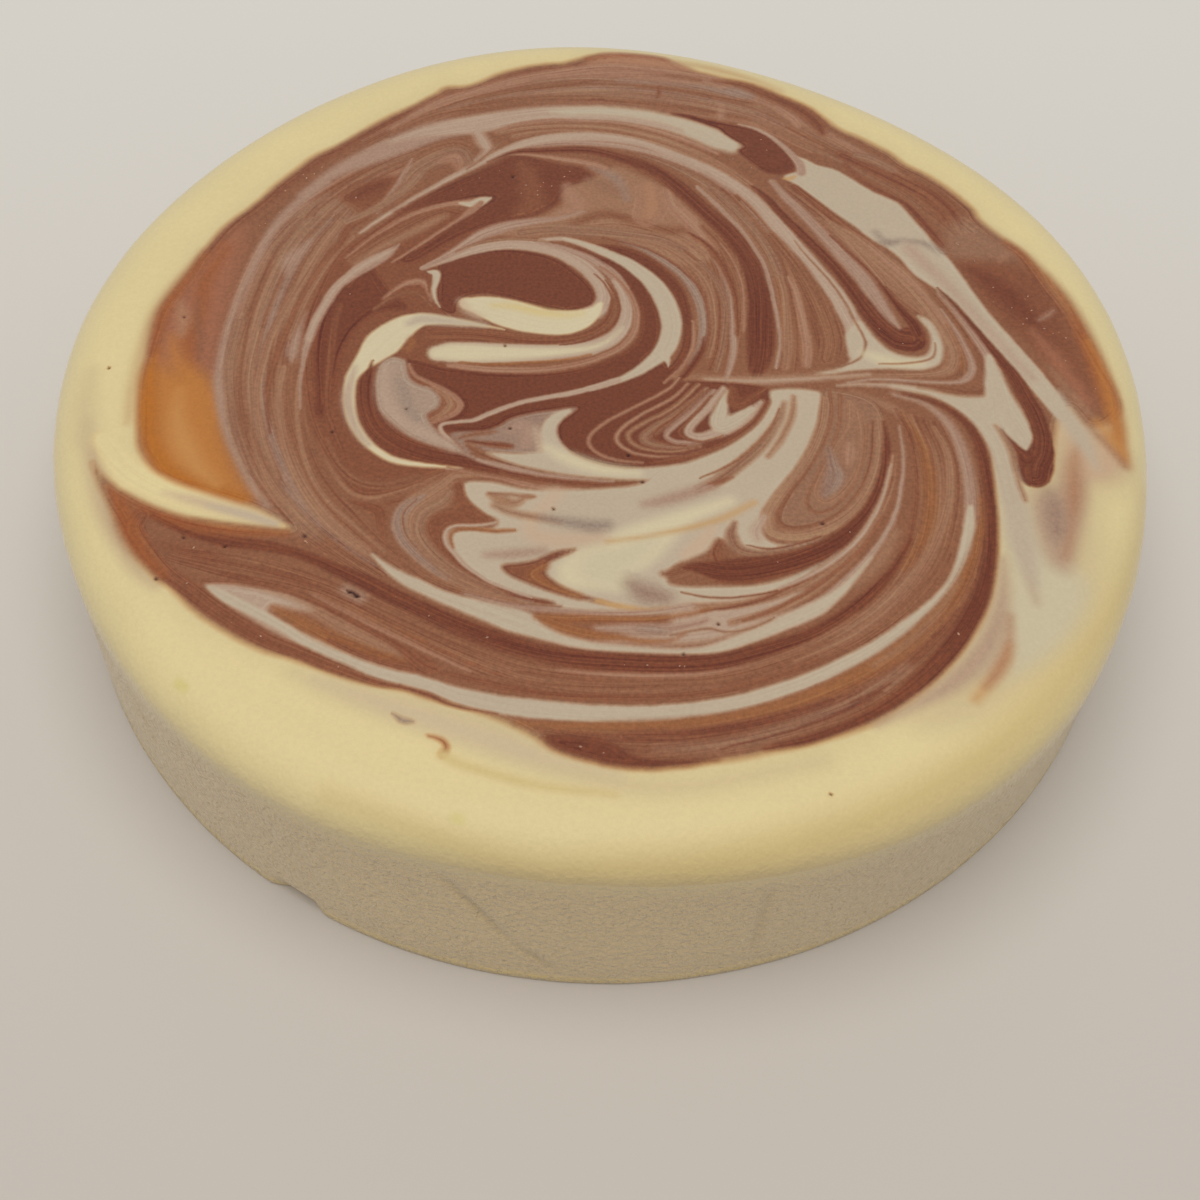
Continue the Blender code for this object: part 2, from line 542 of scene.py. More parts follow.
def paint_marbling(painter):
    patch = painter.patch
    streak = painter.streak
    sheaf = painter.sheaf

    # haze under the marbling in the custard, and painted shade along the front of the shoulder
    streak("sand", 6, (-48,-67,0.5), (-38,-70.5,2), (-18,-76,3.8), (0,-83.5,1.8), (12,-85,1.2), (24,-82.5,1),
        (36,-79,0.8))
    streak("ash", 5.2, (-44,-68,0.3), (-33,-71.8,1.3), (-15,-77.8,1.7), (-6,-80.8,1.1), (4,-83,0.4))
    patch("sand", 8, (66,-4), (74,-8), (84,0), (92,-8), (94.5,-15), (91,-21), (87,-26), (86,-36), (84,-46),
        (78,-56), (68,-66), (58,-72), (50,-71), (58,-62), (64,-50), (67,-36))
    patch("milk", 6.4, (68,-16), (73,-21), (76,-34), (82,-43), (79,-53), (71,-60), (63,-62), (65,-52),
        (68,-40))
    patch("veil", 4.8, (75,-22), (78.5,-20.5), (81.5,-10), (84,-6), (91.5,-12), (89,-17), (85,-20),
        (83.6,-27), (81.6,-34), (79.3,-40), (76,-38.5), (74.3,-31))
    patch("peach", 6, (80.5,-5), (86,-4.5), (91,-9), (92.5,-16), (88,-20), (83,-18.5), (80,-12))
    streak("skin", 4.4, (79.2,-37,0.2), (81,-30,0.6), (82.3,-23,1.5), (82.8,-17,1.3), (84.5,-12,0.3))
    streak("veil", 4, (71.5,-23,0.02), (72.2,-40,0.3), (73,-47,0.02))
    streak("lavender", 4.8, (77.5,-22,0.4), (78.3,-26,1.3), (78.2,-31,1.2), (77.9,-33.5,0.1))
    streak("honey", 3.6, (12,92,0.4), (20,90,1), (28,87,0.8), (34,83.5,0.3))
    # painted shade: darker, yellower custard along the front of the shoulder where it turns down
    streak("ochre", 8, (-40,-88,0.1), (-12,-97,0.7), (5,-97.3,1.4), (22,-95.5,2.4), (44,-87.5,2.8),
        (62,-76,2.8), (76,-61,2.4), (87,-45,1.6), (93.5,-30,0.6), (96,-20,0.1))
    streak("veil", 4.4, (-91.5,-16,0.2), (-89.5,-22,0.9), (-84,-35.5,1.5), (-77.5,-46.5,0.8), (-73,-51,0.3))
    streak("sand", 6, (-93,-4,0.6), (-92.5,-12,1.6), (-90.5,-20,2))
    streak("honey", 3.4, (-84.3,-16,0.2), (-85,-6,0.6), (-84.2,12,0.7), (-78.5,28,0.2))
    streak("honey", 3, (84,31,0.2), (87.4,22,0.5), (93.1,2,0.7), (92.6,-14,0.3))

    # the whole marbled field
    field = ((-84,0), (-83.8,6), (-83.3,12), (-81.5,17.5), (-80,21.5), (-79,26), (-77,31), (-75,35.5),
        (-71.5,40.5), (-69.5,43.5), (-67,48), (-63.5,53), (-60.5,57), (-56,60.5), (-51.5,65.5), (-47,70),
        (-42,74), (-38,78), (-36,80), (-31,81), (-25,85.5), (-18,88.5), (-12,89.8), (-7,92.3), (-3,94),
        (3,94.3), (9,93.6), (12,91), (17,88.5), (22,87), (27,85.7), (31,84), (35,81.5), (38,79.8), (41,77.5),
        (43.5,74.5), (46.5,71.5), (50,69.5), (53,67.3), (56,65), (58.5,62), (62,59.5), (66,56), (69,52.5),
        (71.5,49), (72.5,46), (76,41.5), (80,37.5), (82.2,33), (84.2,28), (86.3,23.5), (88,19), (90,13),
        (91.7,7), (93.3,2), (93.5,-3), (90,-7), (86.5,-7), (84,-3), (81.5,-6), (80,-12), (78.5,-19),
        (75.5,-21.5), (73,-19), (70,-12), (68.4,-20), (67.8,-33), (66,-44), (64.5,-49), (62,-53.5), (59,-58),
        (56,-62), (53,-65.3), (50,-67.8), (46,-70.8), (42,-73), (37,-75), (33,-76.5), (28,-77.8), (23,-79.2),
        (18,-80.3), (13,-81.3), (8,-81.8), (3,-81.5), (-2,-80.3), (-6,-79), (-9,-76.8), (-13.5,-74.5),
        (-20,-72), (-27,-70.2), (-30,-69.2), (-36,-68.3), (-40,-67.3), (-44,-65.9), (-48,-64.5), (-54,-62.7),
        (-60,-59.5), (-66,-55.5), (-70,-51.5), (-73,-49.5), (-77,-45), (-80,-40), (-82,-37), (-85,-32.5),
        (-88.5,-25.5), (-87,-27.5), (-83,-31), (-78,-34), (-72,-36.3), (-65,-37.7), (-58,-38.2), (-52,-38),
        (-57,-35), (-60,-33.5), (-65,-31.8), (-69,-30.5), (-73,-29.8), (-76.5,-28), (-78.5,-25.5), (-81,-22),
        (-82,-18), (-83,-12), (-84,-6))
    patch("sand", 11, *field)
    patch("cocoa", 0.9, *field)

    # amber stain at the left
    patch("mocha", 3.2, (-60,47), (-66.5,33), (-69.2,18), (-69.4,4), (-67.8,-9), (-64.5,-18.5), (-59.5,-28),
        (-53.5,-37), (-47,-40), (-51,-31), (-56,-20), (-59.5,4), (-55,27), (-50,39))
    patch("russet", 5.2, (-84,8), (-82,16), (-76,31), (-72,37), (-71,30), (-71.6,10), (-71,0), (-70.5,-4),
        (-76,-3), (-82,-3))
    streak("rust", 4, (-74,29,0.4), (-76.5,20,1.2), (-76,12,0.8), (-77,4,1.4), (-75,-4,0.8))
    patch("amber", 7.2, (-82,-3), (-77,-3.5), (-72.5,-5), (-69.3,-11), (-63.2,-25.5), (-59.5,-31.5),
        (-65,-30.8), (-75,-27), (-78.5,-23), (-81,-14))
    streak("amber", 6, (-80,5,0.1), (-78.5,0,0.9), (-75,-5,1.6), (-71.5,-9,1.2), (-69.3,-14,0.4))
    streak("syrup", 3.2, (-82.4,2,0.3), (-82.4,-5,1.2), (-81.4,-12,1.8), (-80,-18,1.5), (-77.4,-23.5,1.5),
        (-73.5,-27.5,1.4), (-61.5,-32,0.8))
    streak("apricot", 4, (-76.5,-8,0.3), (-75.8,-14,1.2), (-73.6,-20,1.9), (-70.5,-25,1.5), (-66.5,-29,0.6))
    streak("rust", 2.6, (-75,31,0.3), (-78,26,0.7), (-82.3,14,1.2), (-83,7,1.1), (-83,1,0.6))
    streak("cocoa", 2.4, (-77,15,0.2), (-76.2,9,0.5), (-74.8,5,0.4), (-74.3,0,0.2))
    streak("skin", 3.2, (-80.2,14,0.3), (-79,10,1), (-78.6,6,0.4))
    streak("brown", 2, (-77,28,0.4), (-73,36,0.7), (-58,57,0.9), (-45,69.5,0.9), (-38,76,0.9), (-30,80,0.7),
        (-23,84.5,0.7), (-14,88,0.6))
    patch("skin", 3.6, (-7,89.5), (-3,93.5), (3,94), (10,92.7), (15,89.3), (9,89), (0,89.6))
    streak("rust", 2.2, (-7,91.6,0.3), (-2,93,0.5), (4,93.4,0.5), (10,92.4,0.3))

    # sheaves of fine lines that follow the turn of the batter
    sheaf(26, 11, "tan mocha cocoa brown cocoa pink cocoa mocha brown lavender", ((-57,47), (-66,34),
        (-69.5,20), (-70.6,4), (-69,-9), (-65.5,-19), (-60,-29), (-52,-38.5), (-44,-44.5), (-36,-49.5)),
        ((-50,41), (-54,30), (-56.5,18), (-57.5,4), (-56.5,-8), (-53.5,-18), (-48.5,-28), (-42,-36),
        (-36,-41.5), (-30,-46)))
    sheaf(10, 12, "mocha tan blush cocoa brown pink", ((-66,37), (-60,45), (-52,53), (-44,59.5), (-34,64.5),
        (-27,66)), ((-53,40), (-50,45), (-45,51), (-38,56), (-32,59), (-29,60)))
    sheaf(14, 13, "brown cocoa dark brown russet", ((-46,36), (-51,24), (-53.8,9), (-53,-6), (-49.5,-18),
        (-43,-27), (-34,-31)), ((-36,34), (-41,22), (-46,9), (-47.5,-4), (-46,-14), (-41,-22), (-34,-25)))
    sheaf(26, 14, "mocha cocoa tan lavender cocoa pink mocha", ((-52,63), (-38,75), (-22,83.5), (-6,88.5),
        (8,89), (22,85.5), (34,79), (44,71), (56,61), (66,51.5), (74,42.5)), ((-50,58), (-38,68.5), (-24,75),
        (-8,77), (6,76.5), (18,74.5), (28,72), (38,65.5), (47,60), (58,51), (66,41)))
    sheaf(12, 15, "tan mocha cocoa pink blush mocha gold", ((24,53), (31,42), (35.5,30), (37.5,18), (38,6)),
        ((16,53), (23.5,42), (29.3,30), (31,18), (30.5,6)))
    sheaf(12, 16, "tan brown mocha lavender cocoa tan", ((25,40), (26,29), (25.5,16), (24,4)), ((6,36),
        (13.5,28), (16,18), (15.5,7)))
    sheaf(14, 17, "tan gold cocoa brown pink tan mocha", ((36,54), (45,44.5), (53,36), (59.5,26.5), (64,17),
        (66.5,8), (66,2)), ((32,53), (41,42), (47.5,32.5), (53,23.5), (58.5,18), (62,12), (61,5)))
    sheaf(30, 18, "mocha brown cocoa tan rust cocoa brown mocha cocoa", ((-73,-46), (-60,-50), (-46,-52.5),
        (-34,-58.8), (-22,-65), (-10,-69), (4,-70), (18,-68.5), (30,-64.5), (42,-58), (52,-49.5), (59,-39.5),
        (62.5,-28), (63.5,-16), (61,-8)), ((-70,-42.5), (-58,-43.5), (-46,-47.5), (-34,-53), (-22,-58.5),
        (-10,-63), (4,-64), (18,-63), (28,-59.5), (38,-54), (46.5,-46), (52,-36), (54.5,-24), (54,-12),
        (51,-4)))
    sheaf(12, 19, "brown cocoa brown gold cocoa", ((-8,-77), (6,-80.5), (20,-78.5), (33,-74.5), (44,-69.5),
        (54,-60.5), (61,-51), (65.5,-40), (67,-28), (66.5,-16)), ((-8,-75), (6,-75), (20,-73), (32,-69),
        (43,-63), (51,-56), (58,-48), (62.5,-39), (65,-29), (65.3,-18)))
    sheaf(9, 20, "tan mocha pink cocoa tan", ((-20,39), (-10,41), (0,44), (8,42), (15,38), (20,33)),
        ((-16,36), (-8,37), (2,37.5), (9,35.5), (14,32), (17,28)))

    # left band, lines that follow the rim
    streak("blush", 2, (-57,49,0.5), (-60.5,45,0.9), (-66.2,34,0.8), (-70,12,0.5), (-70.3,-1,0.7),
        (-69.4,-7.6,0.9), (-66.2,-17.8,0.7), (-60.5,-28.6,0.6), (-57,-33.4,0.4))
    streak("blush", 2.8, (-58.5,32,0.3), (-61.3,26.7,1.2), (-61.5,23,0.3))
    streak("tan", 0.5, (-53,38,0.6), (-56,30,0.7), (-61.5,10,0.9), (-62.7,0,0.8), (-62.5,-8,0.7),
        (-60,-18,0.6), (-56,-27,0.5))
    streak("tan", 0.6, (-64.5,8,0.5), (-64.7,-2,0.6), (-63.5,-10,0.5), (-61,-20,0.5), (-57,-29,0.5),
        (-51,-36,0.4))
    streak("mocha", 0.6, (-68.5,10,0.8), (-68.7,0,0.8), (-67.5,-8,0.8), (-65,-17,0.7), (-61,-26,0.5))

    # dark line of the left band
    streak("brown", 0.4, (-48.5,39.5,0.8), (-51.3,36.5,0.9), (-52.5,32,0.8), (-54.5,27,0.8), (-56.5,21,0.6),
        (-59.5,8,0.7), (-60.8,-4,0.5), (-60.5,-10,0.3), (-59,-17,0.2))
    streak("tan", 0.5, (-50,34,0.4), (-53.5,27,0.6), (-56,20,0.6), (-57.6,13,0.5), (-58.7,6,0.3))
    streak("blush", 2, (-56.3,13,0.2), (-57.7,4,1), (-57.4,0.8,0.5))
    streak("tan", 0.4, (-58.6,-1,0.6), (-58.6,-8,0.9), (-57,-16,0.9), (-54,-24,1), (-50,-31,1.2),
        (-45,-37,1.2), (-39,-42,0.9))
    streak("cocoa", 0.3, (-57,1,0.2), (-57.2,-6,0.25), (-56,-14,0.3), (-53,-22,0.3), (-49,-30,0.3),
        (-44,-36,0.3))
    streak("cocoa", 0.35, (-55,-1,0.2), (-54.3,-8,0.3), (-52.7,-16,0.35), (-49.5,-24,0.4), (-46,-29.5,0.5),
        (-42,-34,0.7), (-37,-39.5,0.5), (-32,-44,0.3))
    streak("tan", 0.3, (-55.8,-3,0.2), (-55.2,-10,0.3), (-53.5,-18,0.35), (-51,-25,0.4), (-46.5,-32,0.4),
        (-36,-42,0.3))
    streak("tan", 0.35, (-52.3,-10,0.15), (-50.5,-17,0.2), (-47.5,-24,0.25), (-43.5,-29.3,0.3),
        (-39.7,-30.5,0.35), (-37.6,-29.8,0.35), (-34,-28.3,0.3), (-30.4,-26.1,0.3), (-28.2,-24.4,0.3),
        (-25.7,-23.3,0.3))
    streak("brown", 0.4, (-43,-31.5,0.2), (-40,-32.5,0.8), (-38,-33.3,1.2), (-37.3,-36,0.8), (-36.5,-39,0.3))
    streak("brown", 0.5, (-37,-31.7,0.3), (-33,-30,0.4), (-29.5,-27.6,0.3))

    # upper-left brown ground of the swirl
    patch("brown", 0.6, (-52,30), (-55,20), (-56.5,10), (-55.5,0), (-53.5,-10), (-51,-17), (-47.5,-23),
        (-43,-29), (-39.5,-30), (-35,-28.6), (-30,-25.7), (-26,-23.2), (-22,-21), (-20,-5), (-22,8),
        (-31,16), (-33,26), (-30,31), (-26,35), (-22,39), (-28,42), (-36,43.5), (-42,40.5), (-46.5,35.5))
    patch("dark", 0.7, (-49,24), (-52.5,17), (-54,10), (-53.8,2), (-52.5,-6), (-51.5,-12), (-49.7,-12),
        (-49,-4), (-48.5,4), (-46.5,10), (-43,14), (-38,15.5), (-42,20), (-46,26))
    streak("brown", 0.5, (-50.5,15,0.4), (-51,8,0.6), (-50,-8,0.6), (-48.5,-14,0.7), (-46,-20,0.6))
    streak("cocoa", 0.6, (-49,-18,0.5), (-46,-23.5,0.7), (-42,-27,0.9), (-37,-27.5,1), (-32,-25.5,0.8))

    # upper band, lines under the rim
    streak("pink", 0.8, (-46,66,0.5), (-38,74.5,1.1), (-30,79.4,0.9), (-22,83.7,0.9), (-12,87,1),
        (-2,89.3,1.1), (8,88.8,0.9), (16,87.6,0.8), (22,86,0.5))
    streak("cocoa", 0.6, (-30,77,0.5), (-20,80.5,0.7), (-10,83,0.8), (0,86,0.5), (10,86.7,0.7), (17,86,0.5))
    streak("mocha", 0.5, (-18,83,0.5), (-8,85,0.7), (2,85,0.6), (12,84.7,0.5), (20,83.4,0.5))
    streak("lavender", 2, (0,84.8,0.3), (16,83.8,0.5), (21,82.8,0.8), (24.5,82.2,1.5), (27.5,81.3,0.9))
    streak("pink", 2.6, (-14,85.5,0.4), (-6,86.3,1), (4,86.5,1), (14,85.2,0.5))
    streak("cocoa", 0.6, (4,83,0.5), (12,82.6,0.6), (28,79,0.5))
    streak("mocha", 0.6, (-12,79.5,0.6), (0,80.5,0.8), (10,80,0.7), (20,78.5,0.6), (28,76,0.5))
    streak("cocoa", 1.8, (-32,73,1), (-26,76,1.3), (-8,78.5,1), (12,76.8,1), (27,74,0.6))
    streak("cocoa", 0.8, (-46,64,1), (-40,69.5,1.1), (-34,72.5,0.9), (-28,74,0.7))
    streak("brown", 0.8, (20,86,0.3), (26,85,0.8), (31,82,1.1), (36,79,1.3), (39.5,76,1.6), (41.5,73,1.7),
        (42.3,70.5,0.9))
    streak("pink", 2, (21,79,0.3), (21.5,76,0.7), (21.3,73.8,0.6))
    streak("pink", 0.6, (33,78,0.6), (36,75,1), (37.5,72.5,0.7))
    streak("brown", 0.5, (8.4,83.2,0.3), (8.4,81,0.4), (8.1,79.8,0.2))

    # right outer band
    streak("brown", 0.7, (46,64,1.2), (60,55,2), (65,50,2.4), (67,46,2.2), (68,43,1))
    streak("brown", 0.5, (46.5,61,0.5), (49.5,56.5,0.6), (54,52.7,0.6), (58,49.8,0.6), (60.5,45.7,0.9),
        (62.7,41.8,1), (64.5,38.5,0.8))
    streak("mocha", 0.7, (49,64,1), (52,63,1.2), (56,60,0.8))
    patch("mocha", 4.8, (65.5,42), (69,46), (73,44), (79,36), (70,34.8), (66,35.5))
    patch("brown", 4.4, (66.5,33.5), (71,34), (77,33.5), (81.5,31), (85,23), (89,3), (87.5,-3), (84,1),
        (76.5,13.5), (69.5,27))
    streak("dark", 4.4, (69.5,32,0.5), (73.5,28,2), (77,23.5,2.2), (80,18,1.2), (82,12,0.6))
    streak("russet", 3.6, (79.5,16,0.6), (82.5,10,1.2), (85,4,1.4), (87.5,-1.5,1.2))
    streak("rust", 3.4, (77,40,0.3), (81,35,0.8), (87,23.5,1.2), (90.2,9,1.7), (91.8,-4,1.2), (92,-10,0.5))
    streak("amber", 3.6, (89.5,14,0.2), (91.2,6,0.7), (92.2,-6,1.3), (91.8,-11,1.5), (92.6,-15,0.9))
    streak("apricot", 4, (88.5,-6,0.4), (90,-9.5,1), (91.8,-12.5,0.9))
    streak("cocoa", 2, (74,16,0.8), (77.5,12,1), (84.5,0,1))

    # big cream area at the upper right with its long tail
    patch("cream", 0.35, (33.8,65), (35.5,63.5), (38.3,62.3), (41,60.5), (44.5,59.3), (47.3,57), (52,53),
        (56.5,50.2), (59,46), (61.5,41.5), (63.2,38), (65.5,34.5), (67.5,30), (72,20), (80,5.5), (82.3,0.5),
        (83.4,-3), (83.3,-6), (81.6,-6), (80.2,-3.6), (76.3,3.5), (73.3,7.7), (70.6,12), (65.5,21.2),
        (63,25.3), (58.3,30), (56,34), (53.5,37), (50.5,39.5), (47.5,42.8), (44,46.3), (37.3,53.5),
        (34.2,56.2), (34.8,57.4), (37,58.5), (36.6,61))
    streak("cream", 3, (81.5,-0.5,1.4), (85,-9.5,1.8), (87,-17,0.4))
    streak("grey", 2.6, (51.5,41.5,0.3), (53.5,38.8,0.6), (57,39.3,0.4), (61,38.6,0.6), (64,36.3,0.4))
    streak("grey", 2, (52.5,38.6,0.2), (54,38.3,0.5), (55.2,38.8,0.2))
    streak("pale", 3.2, (58,37,1.5), (62,31,1.4), (66,25,1), (78,4,0.8))
    streak("tan", 2.8, (85.5,-4,0.3), (88,-9,0.4), (92.4,-16,0.3))
    streak("tan", 2.4, (81.5,7,0.1), (86,-2,0.8), (88,-5,0.3))
    streak("blush", 0.8, (81,19,0.05), (82.7,20.2,0.25), (84,21.8,0.05))
    streak("pink", 0.8, (75.3,34.5,0.05), (76.2,35.8,0.25), (77,37,0.05))

    # upper cream band
    streak("blush", 2.2, (-62,45,0.4), (-55,53,1.6), (-46,60,2.6), (-36,66.5,2.6), (-26,69.5,1.8))
    streak("pale", 0.7, (-46,62,0.4), (-40,65.3,1.3), (-34,67.3,2.2), (-28,69,2.8), (-22,71.3,2.4),
        (-16,72.9,2.3), (-10,73.6,2.3), (-4,73.9,2.2))
    streak("cream", 0.8, (-14,73.8,0.4), (-8,74,1.6), (-2,74.2,2), (4,73.6,2.1), (9,72.4,2.3),
        (13.5,70.8,2.6), (17.5,68.9,2.8), (21,66.8,2.8), (23.3,65.4,2.2))
    streak("pale", 0.8, (-28.5,66,1), (-27,63,1.3), (-26.2,61,0.9), (-27.2,59,0.5), (-28.5,57.5,0.2))
    streak("pale", 0.8, (-8,72.5,0.5), (0,72.3,0.9), (8,71,0.9), (13,69.3,0.5))
    streak("pink", 0.35, (-24.5,66.5,0.4), (-21,69,0.5), (-15,71,0.4), (-7,71.3,0.3), (0,71,0.3),
        (6,69.8,0.5), (12,67.5,0.6), (17,65,0.6), (20.5,62.8,0.4))
    streak("tan", 0.6, (-24,66.5,0.5), (-20,68.2,0.8), (-15,69.2,0.75), (-10,69.7,0.7), (-5,69.7,0.65),
        (0,69.2,0.65), (5,68,0.8), (10,66.2,0.8), (15,63.6,0.8), (20,60.3,0.8), (24,57,0.75), (28,52.8,0.8),
        (32,47.8,1))

    # comma of dark cocoa
    patch("dark", 0.35, (11.2,75), (14.6,74.6), (18.4,73.3), (26,71.4), (29.4,69.9), (31.7,68.2),
        (33.6,65.7), (36.4,60.8), (36.3,58.8), (34.8,57.7), (32.1,57.2), (29.8,58.1), (25.8,62.3), (24.6,64),
        (26,65.3), (24.5,66.8), (22.2,68.7), (21,70.3), (18.4,71.6), (14.6,73.3), (11.2,74.3))
    streak("blush", 0.3, (25,72.2,0.2), (28.5,71,0.4), (31.5,68.9,0.5), (34,66,0.6), (36,63,0.7),
        (37.4,60.5,1), (37.6,58,1))
    streak("honey", 0.4, (34.2,55.9,0.3), (35.2,56.1,0.5), (36.2,56.8,0.3))

    # second cream line and what lies between it and the upper band
    streak("tan", 0.5, (-21,65.5,0.6), (-15,67.3,0.5), (-8,68,0.5), (0,67.5,0.5), (7,65.8,0.5), (13,63,0.5),
        (19,59.3,0.5), (25,54.3,0.5))
    streak("blush", 0.5, (-19,62.5,0.6), (-12,64,0.8), (-5,64.4,0.8), (2,63.7,0.8), (8,62,0.9),
        (14,59.3,0.9), (19,56,0.8), (24,51.5,0.7))
    streak("pale", 0.4, (-49,35,0.3), (-45.3,39.5,0.5), (-36.5,48.5,0.6), (-28.5,56,0.8), (-22,61.3,1),
        (-18,63.8,1.1), (-13,65.5,1.3), (-8,66.3,1.4), (-3,66.4,1.3), (2,65.7,1.2), (7,64.2,1.1),
        (17,58.9,1.2), (22,55.3,1.3), (26,51.4,1.4), (29.3,47,1.5), (33,40.8,1.7), (42.2,25,1.8),
        (44.3,20,1.9), (45.8,15.5,1.8), (46.3,11,1.7), (45.3,8,0.9))
    streak("mocha", 0.4, (-30,54.7,0.2), (-26.7,58.5,0.35), (-23.9,63.1,0.2))
    streak("mocha", 0.5, (5,61.5,0.4), (10,59.3,0.7), (15,56,0.8), (20,51.5,0.9), (24.5,46,0.9),
        (28.5,40,0.8), (31.5,34,0.6))

    # left of the dark cloud
    streak("mocha", 0.7, (-42,50,1.2), (-40,54,1.8), (-36,58,2.4), (-32,60,2.2), (-30,57,1.2))
    streak("cocoa", 0.7, (-43,55,0.5), (-38,60,1), (-33,62.5,0.9), (-30,61.5,0.6))
    streak("pink", 0.8, (-35,57,0.5), (-32.5,58,1.2), (-31.5,55,0.6))
    patch("brown", 0.8, (-54,44.8), (-50,49), (-46.5,51), (-43.9,51.6), (-43.6,49), (-44.5,46), (-46,43),
        (-48,40.3), (-51,42.5))
    streak("dark", 4, (-51.5,45,0.6), (-48.5,48,1.4), (-45.5,50.5,0.5))
    streak("blush", 0.4, (-46.5,41,0.2), (-45,45,0.35), (-43.2,49.5,0.35), (-42,54,0.3), (-41,57,0.2))
    streak("mocha", 0.5, (-52,38,0.8), (-48,41,0.9), (-44,45,1.1), (-41,49,1.2), (-39,53,0.9))
    streak("brown", 0.35, (-50,31,0.3), (-42,40.5,0.4), (-38,44,0.5), (-34.5,47.5,0.4))

    # dark cloud at the top left of the swirl
    patch("dark", 0.75, (-24.8,56.6), (-22,59.2), (-19.2,59.8), (-10.3,57.5), (-6.6,56.8), (-4.5,54.7),
        (-4,53.3), (-6.1,52.2), (-8.9,50.8), (-10.3,48.7), (-11,45.9), (-13.1,44), (-15.5,42.1),
        (-19.2,40.7), (-22.5,39.8), (-27,37.3), (-31,34.2), (-35,30.2), (-38,27.5), (-41,27.5), (-39,31),
        (-36,34), (-32,38.5), (-25.5,45), (-24.3,46.8), (-27,46.7), (-31,45.4), (-38,42.8), (-41,41.5),
        (-43,41.5), (-39,45), (-35,48.7))
    streak("brown", 4, (-19,57,1), (-17.5,54,1.8), (-16.5,50,1))
    streak("brown", 4, (-17,50,2), (-16,46,2.4), (-18,43,1.5))

    # centre of the top: tan field between the cloud and the arcs
    patch("tan", 1.8, (-4,54), (0,57.5), (5,55), (10,51.5), (18,41.5), (20.5,35), (18,31), (12,30.5),
        (5,34.5), (-2,37), (-9,37.3), (-16,36), (-22,36.5), (-20,39.3), (-13,42.5), (-10,46), (-9,50.5))
    streak("pink", 2.6, (-9.5,51,0.8), (-8.5,48,1.7), (-7,45,1.2), (-11,43.2,0.6))
    streak("lavender", 2.6, (-5,57.5,0.4), (0,54,1.1), (2.5,48,0.5))
    streak("mocha", 3, (-5,53,0.8), (-2,51.5,1.8), (0,50,1.2))
    streak("cocoa", 2, (-8,40,1), (-2,43.5,1.2), (4,41.5,1.3), (10,39.5,1.3), (14,40,1.2))
    streak("pink", 0.8, (10.5,51,0.8), (11.5,47,1.3), (14,43.5,1.6), (17,39.5,1.2), (19.5,35,0.8))
    streak("skin", 3.6, (6.8,52,0.8), (7.4,47,1.2), (6.8,43,0.7))
    streak("pink", 0.8, (4.5,52,0.2), (4.6,47,0.3), (4.2,43,0.4), (6.5,40.8,0.3), (9,42.5,0.3),
        (10.5,46,0.3))
    streak("mocha", 0.7, (-18,37.2,1), (-12,38.5,1.4), (-5,38.5,1.5), (2,38,1.4), (9,36.8,1.3), (14,34,1.1))
    streak("pink", 0.35, (-22,59.9,0.2), (-17,60,0.4), (-6,58.3,0.8), (-2,57,0.6))
    streak("dark", 0.4, (-26,57.2,0.1), (-21,60.6,0.5), (-16,61.3,0.7), (-10,62,0.9), (-5,62,1),
        (0,60.6,1.2), (5,58.5,1.4), (9,56,1.5), (13.5,51.3,1.7), (18,45.5,1.7), (22.3,40,1.9), (25.2,35,1.9),
        (27.4,30,2.2), (28.3,25,2.4), (28.5,20,2.3), (28.4,15,2.6), (28.3,10,2.6), (27.9,6,2.2),
        (27.3,2.8,1.4), (26.8,0.8,0.5))
    streak("brown", 0.4, (5,57,0.4), (9,54.2,0.5), (12.5,50,0.4))

    # pale arcs to the right of the long dark band
    streak("blush", 0.3, (16.5,52.5,0.4), (21,46.5,0.5), (25,40.7,0.4), (28,34.7,0.4), (29.9,29,0.45),
        (31.6,17,0.4), (31.9,10,0.3), (31,4,0.3))
    streak("mocha", 0.4, (19,52,0.6), (23.5,46,0.8), (27.5,40,0.7), (30.3,34,0.7), (32,28,0.8))
    streak("tan", 0.4, (32.3,28,0.6), (33.2,22,0.8), (33.3,9,0.9), (32.8,4,0.7))
    streak("cocoa", 0.35, (28,43,0.4), (31.5,36,0.5), (33.5,29,0.5), (35,15,0.4), (34.9,8,0.35),
        (34.3,3.5,0.3))
    streak("pink", 0.35, (34,28,0.3), (35.5,23,0.7), (36.9,11,0.9), (36.7,5,0.8))
    streak("cocoa", 0.4, (31,39.5,0.9), (35,32.5,1.5), (38,25.5,2), (40.2,18,2.6), (41.3,11.5,2.7),
        (40.6,6.8,1.5))
    streak("mocha", 0.25, (35.5,38,0.1), (38.3,33,0.2), (42,27,0.25), (44.6,21.5,0.25), (46,17.5,0.2))
    streak("tan", 2, (10,0.4,0.2), (16,0.9,0.5), (22,0.5,0.8), (34,1.8,0.8), (42,3,0.4))

    # dark line with the round end
    streak("dark", 0.35, (27.5,53.3,0.4), (30.6,49.8,0.8), (33.3,45.3,0.85), (42.5,32,1.15), (47,23.5,1.5),
        (49.3,19,1.9), (51.7,15.3,2.3), (54.2,12.9,2.9), (56.2,12.6,3.2))
    streak("blush", 0.5, (31.5,55,0.5), (34.5,50,0.9), (38,45,1.1), (47.6,29.5,1.5), (49.8,25,1.5),
        (53,18,0.9), (54.5,15.5,0.3))
    streak("dark", 0.3, (42.5,40,0.2), (48.5,32,0.3), (51.3,28,0.4), (55,20.3,0.7), (57,17,1.1), (58,14,1.2))
    streak("tan", 0.35, (37,51,0.4), (41,46.5,0.5), (47,36.5,0.5), (50,31.5,0.6), (52.5,27,0.4))

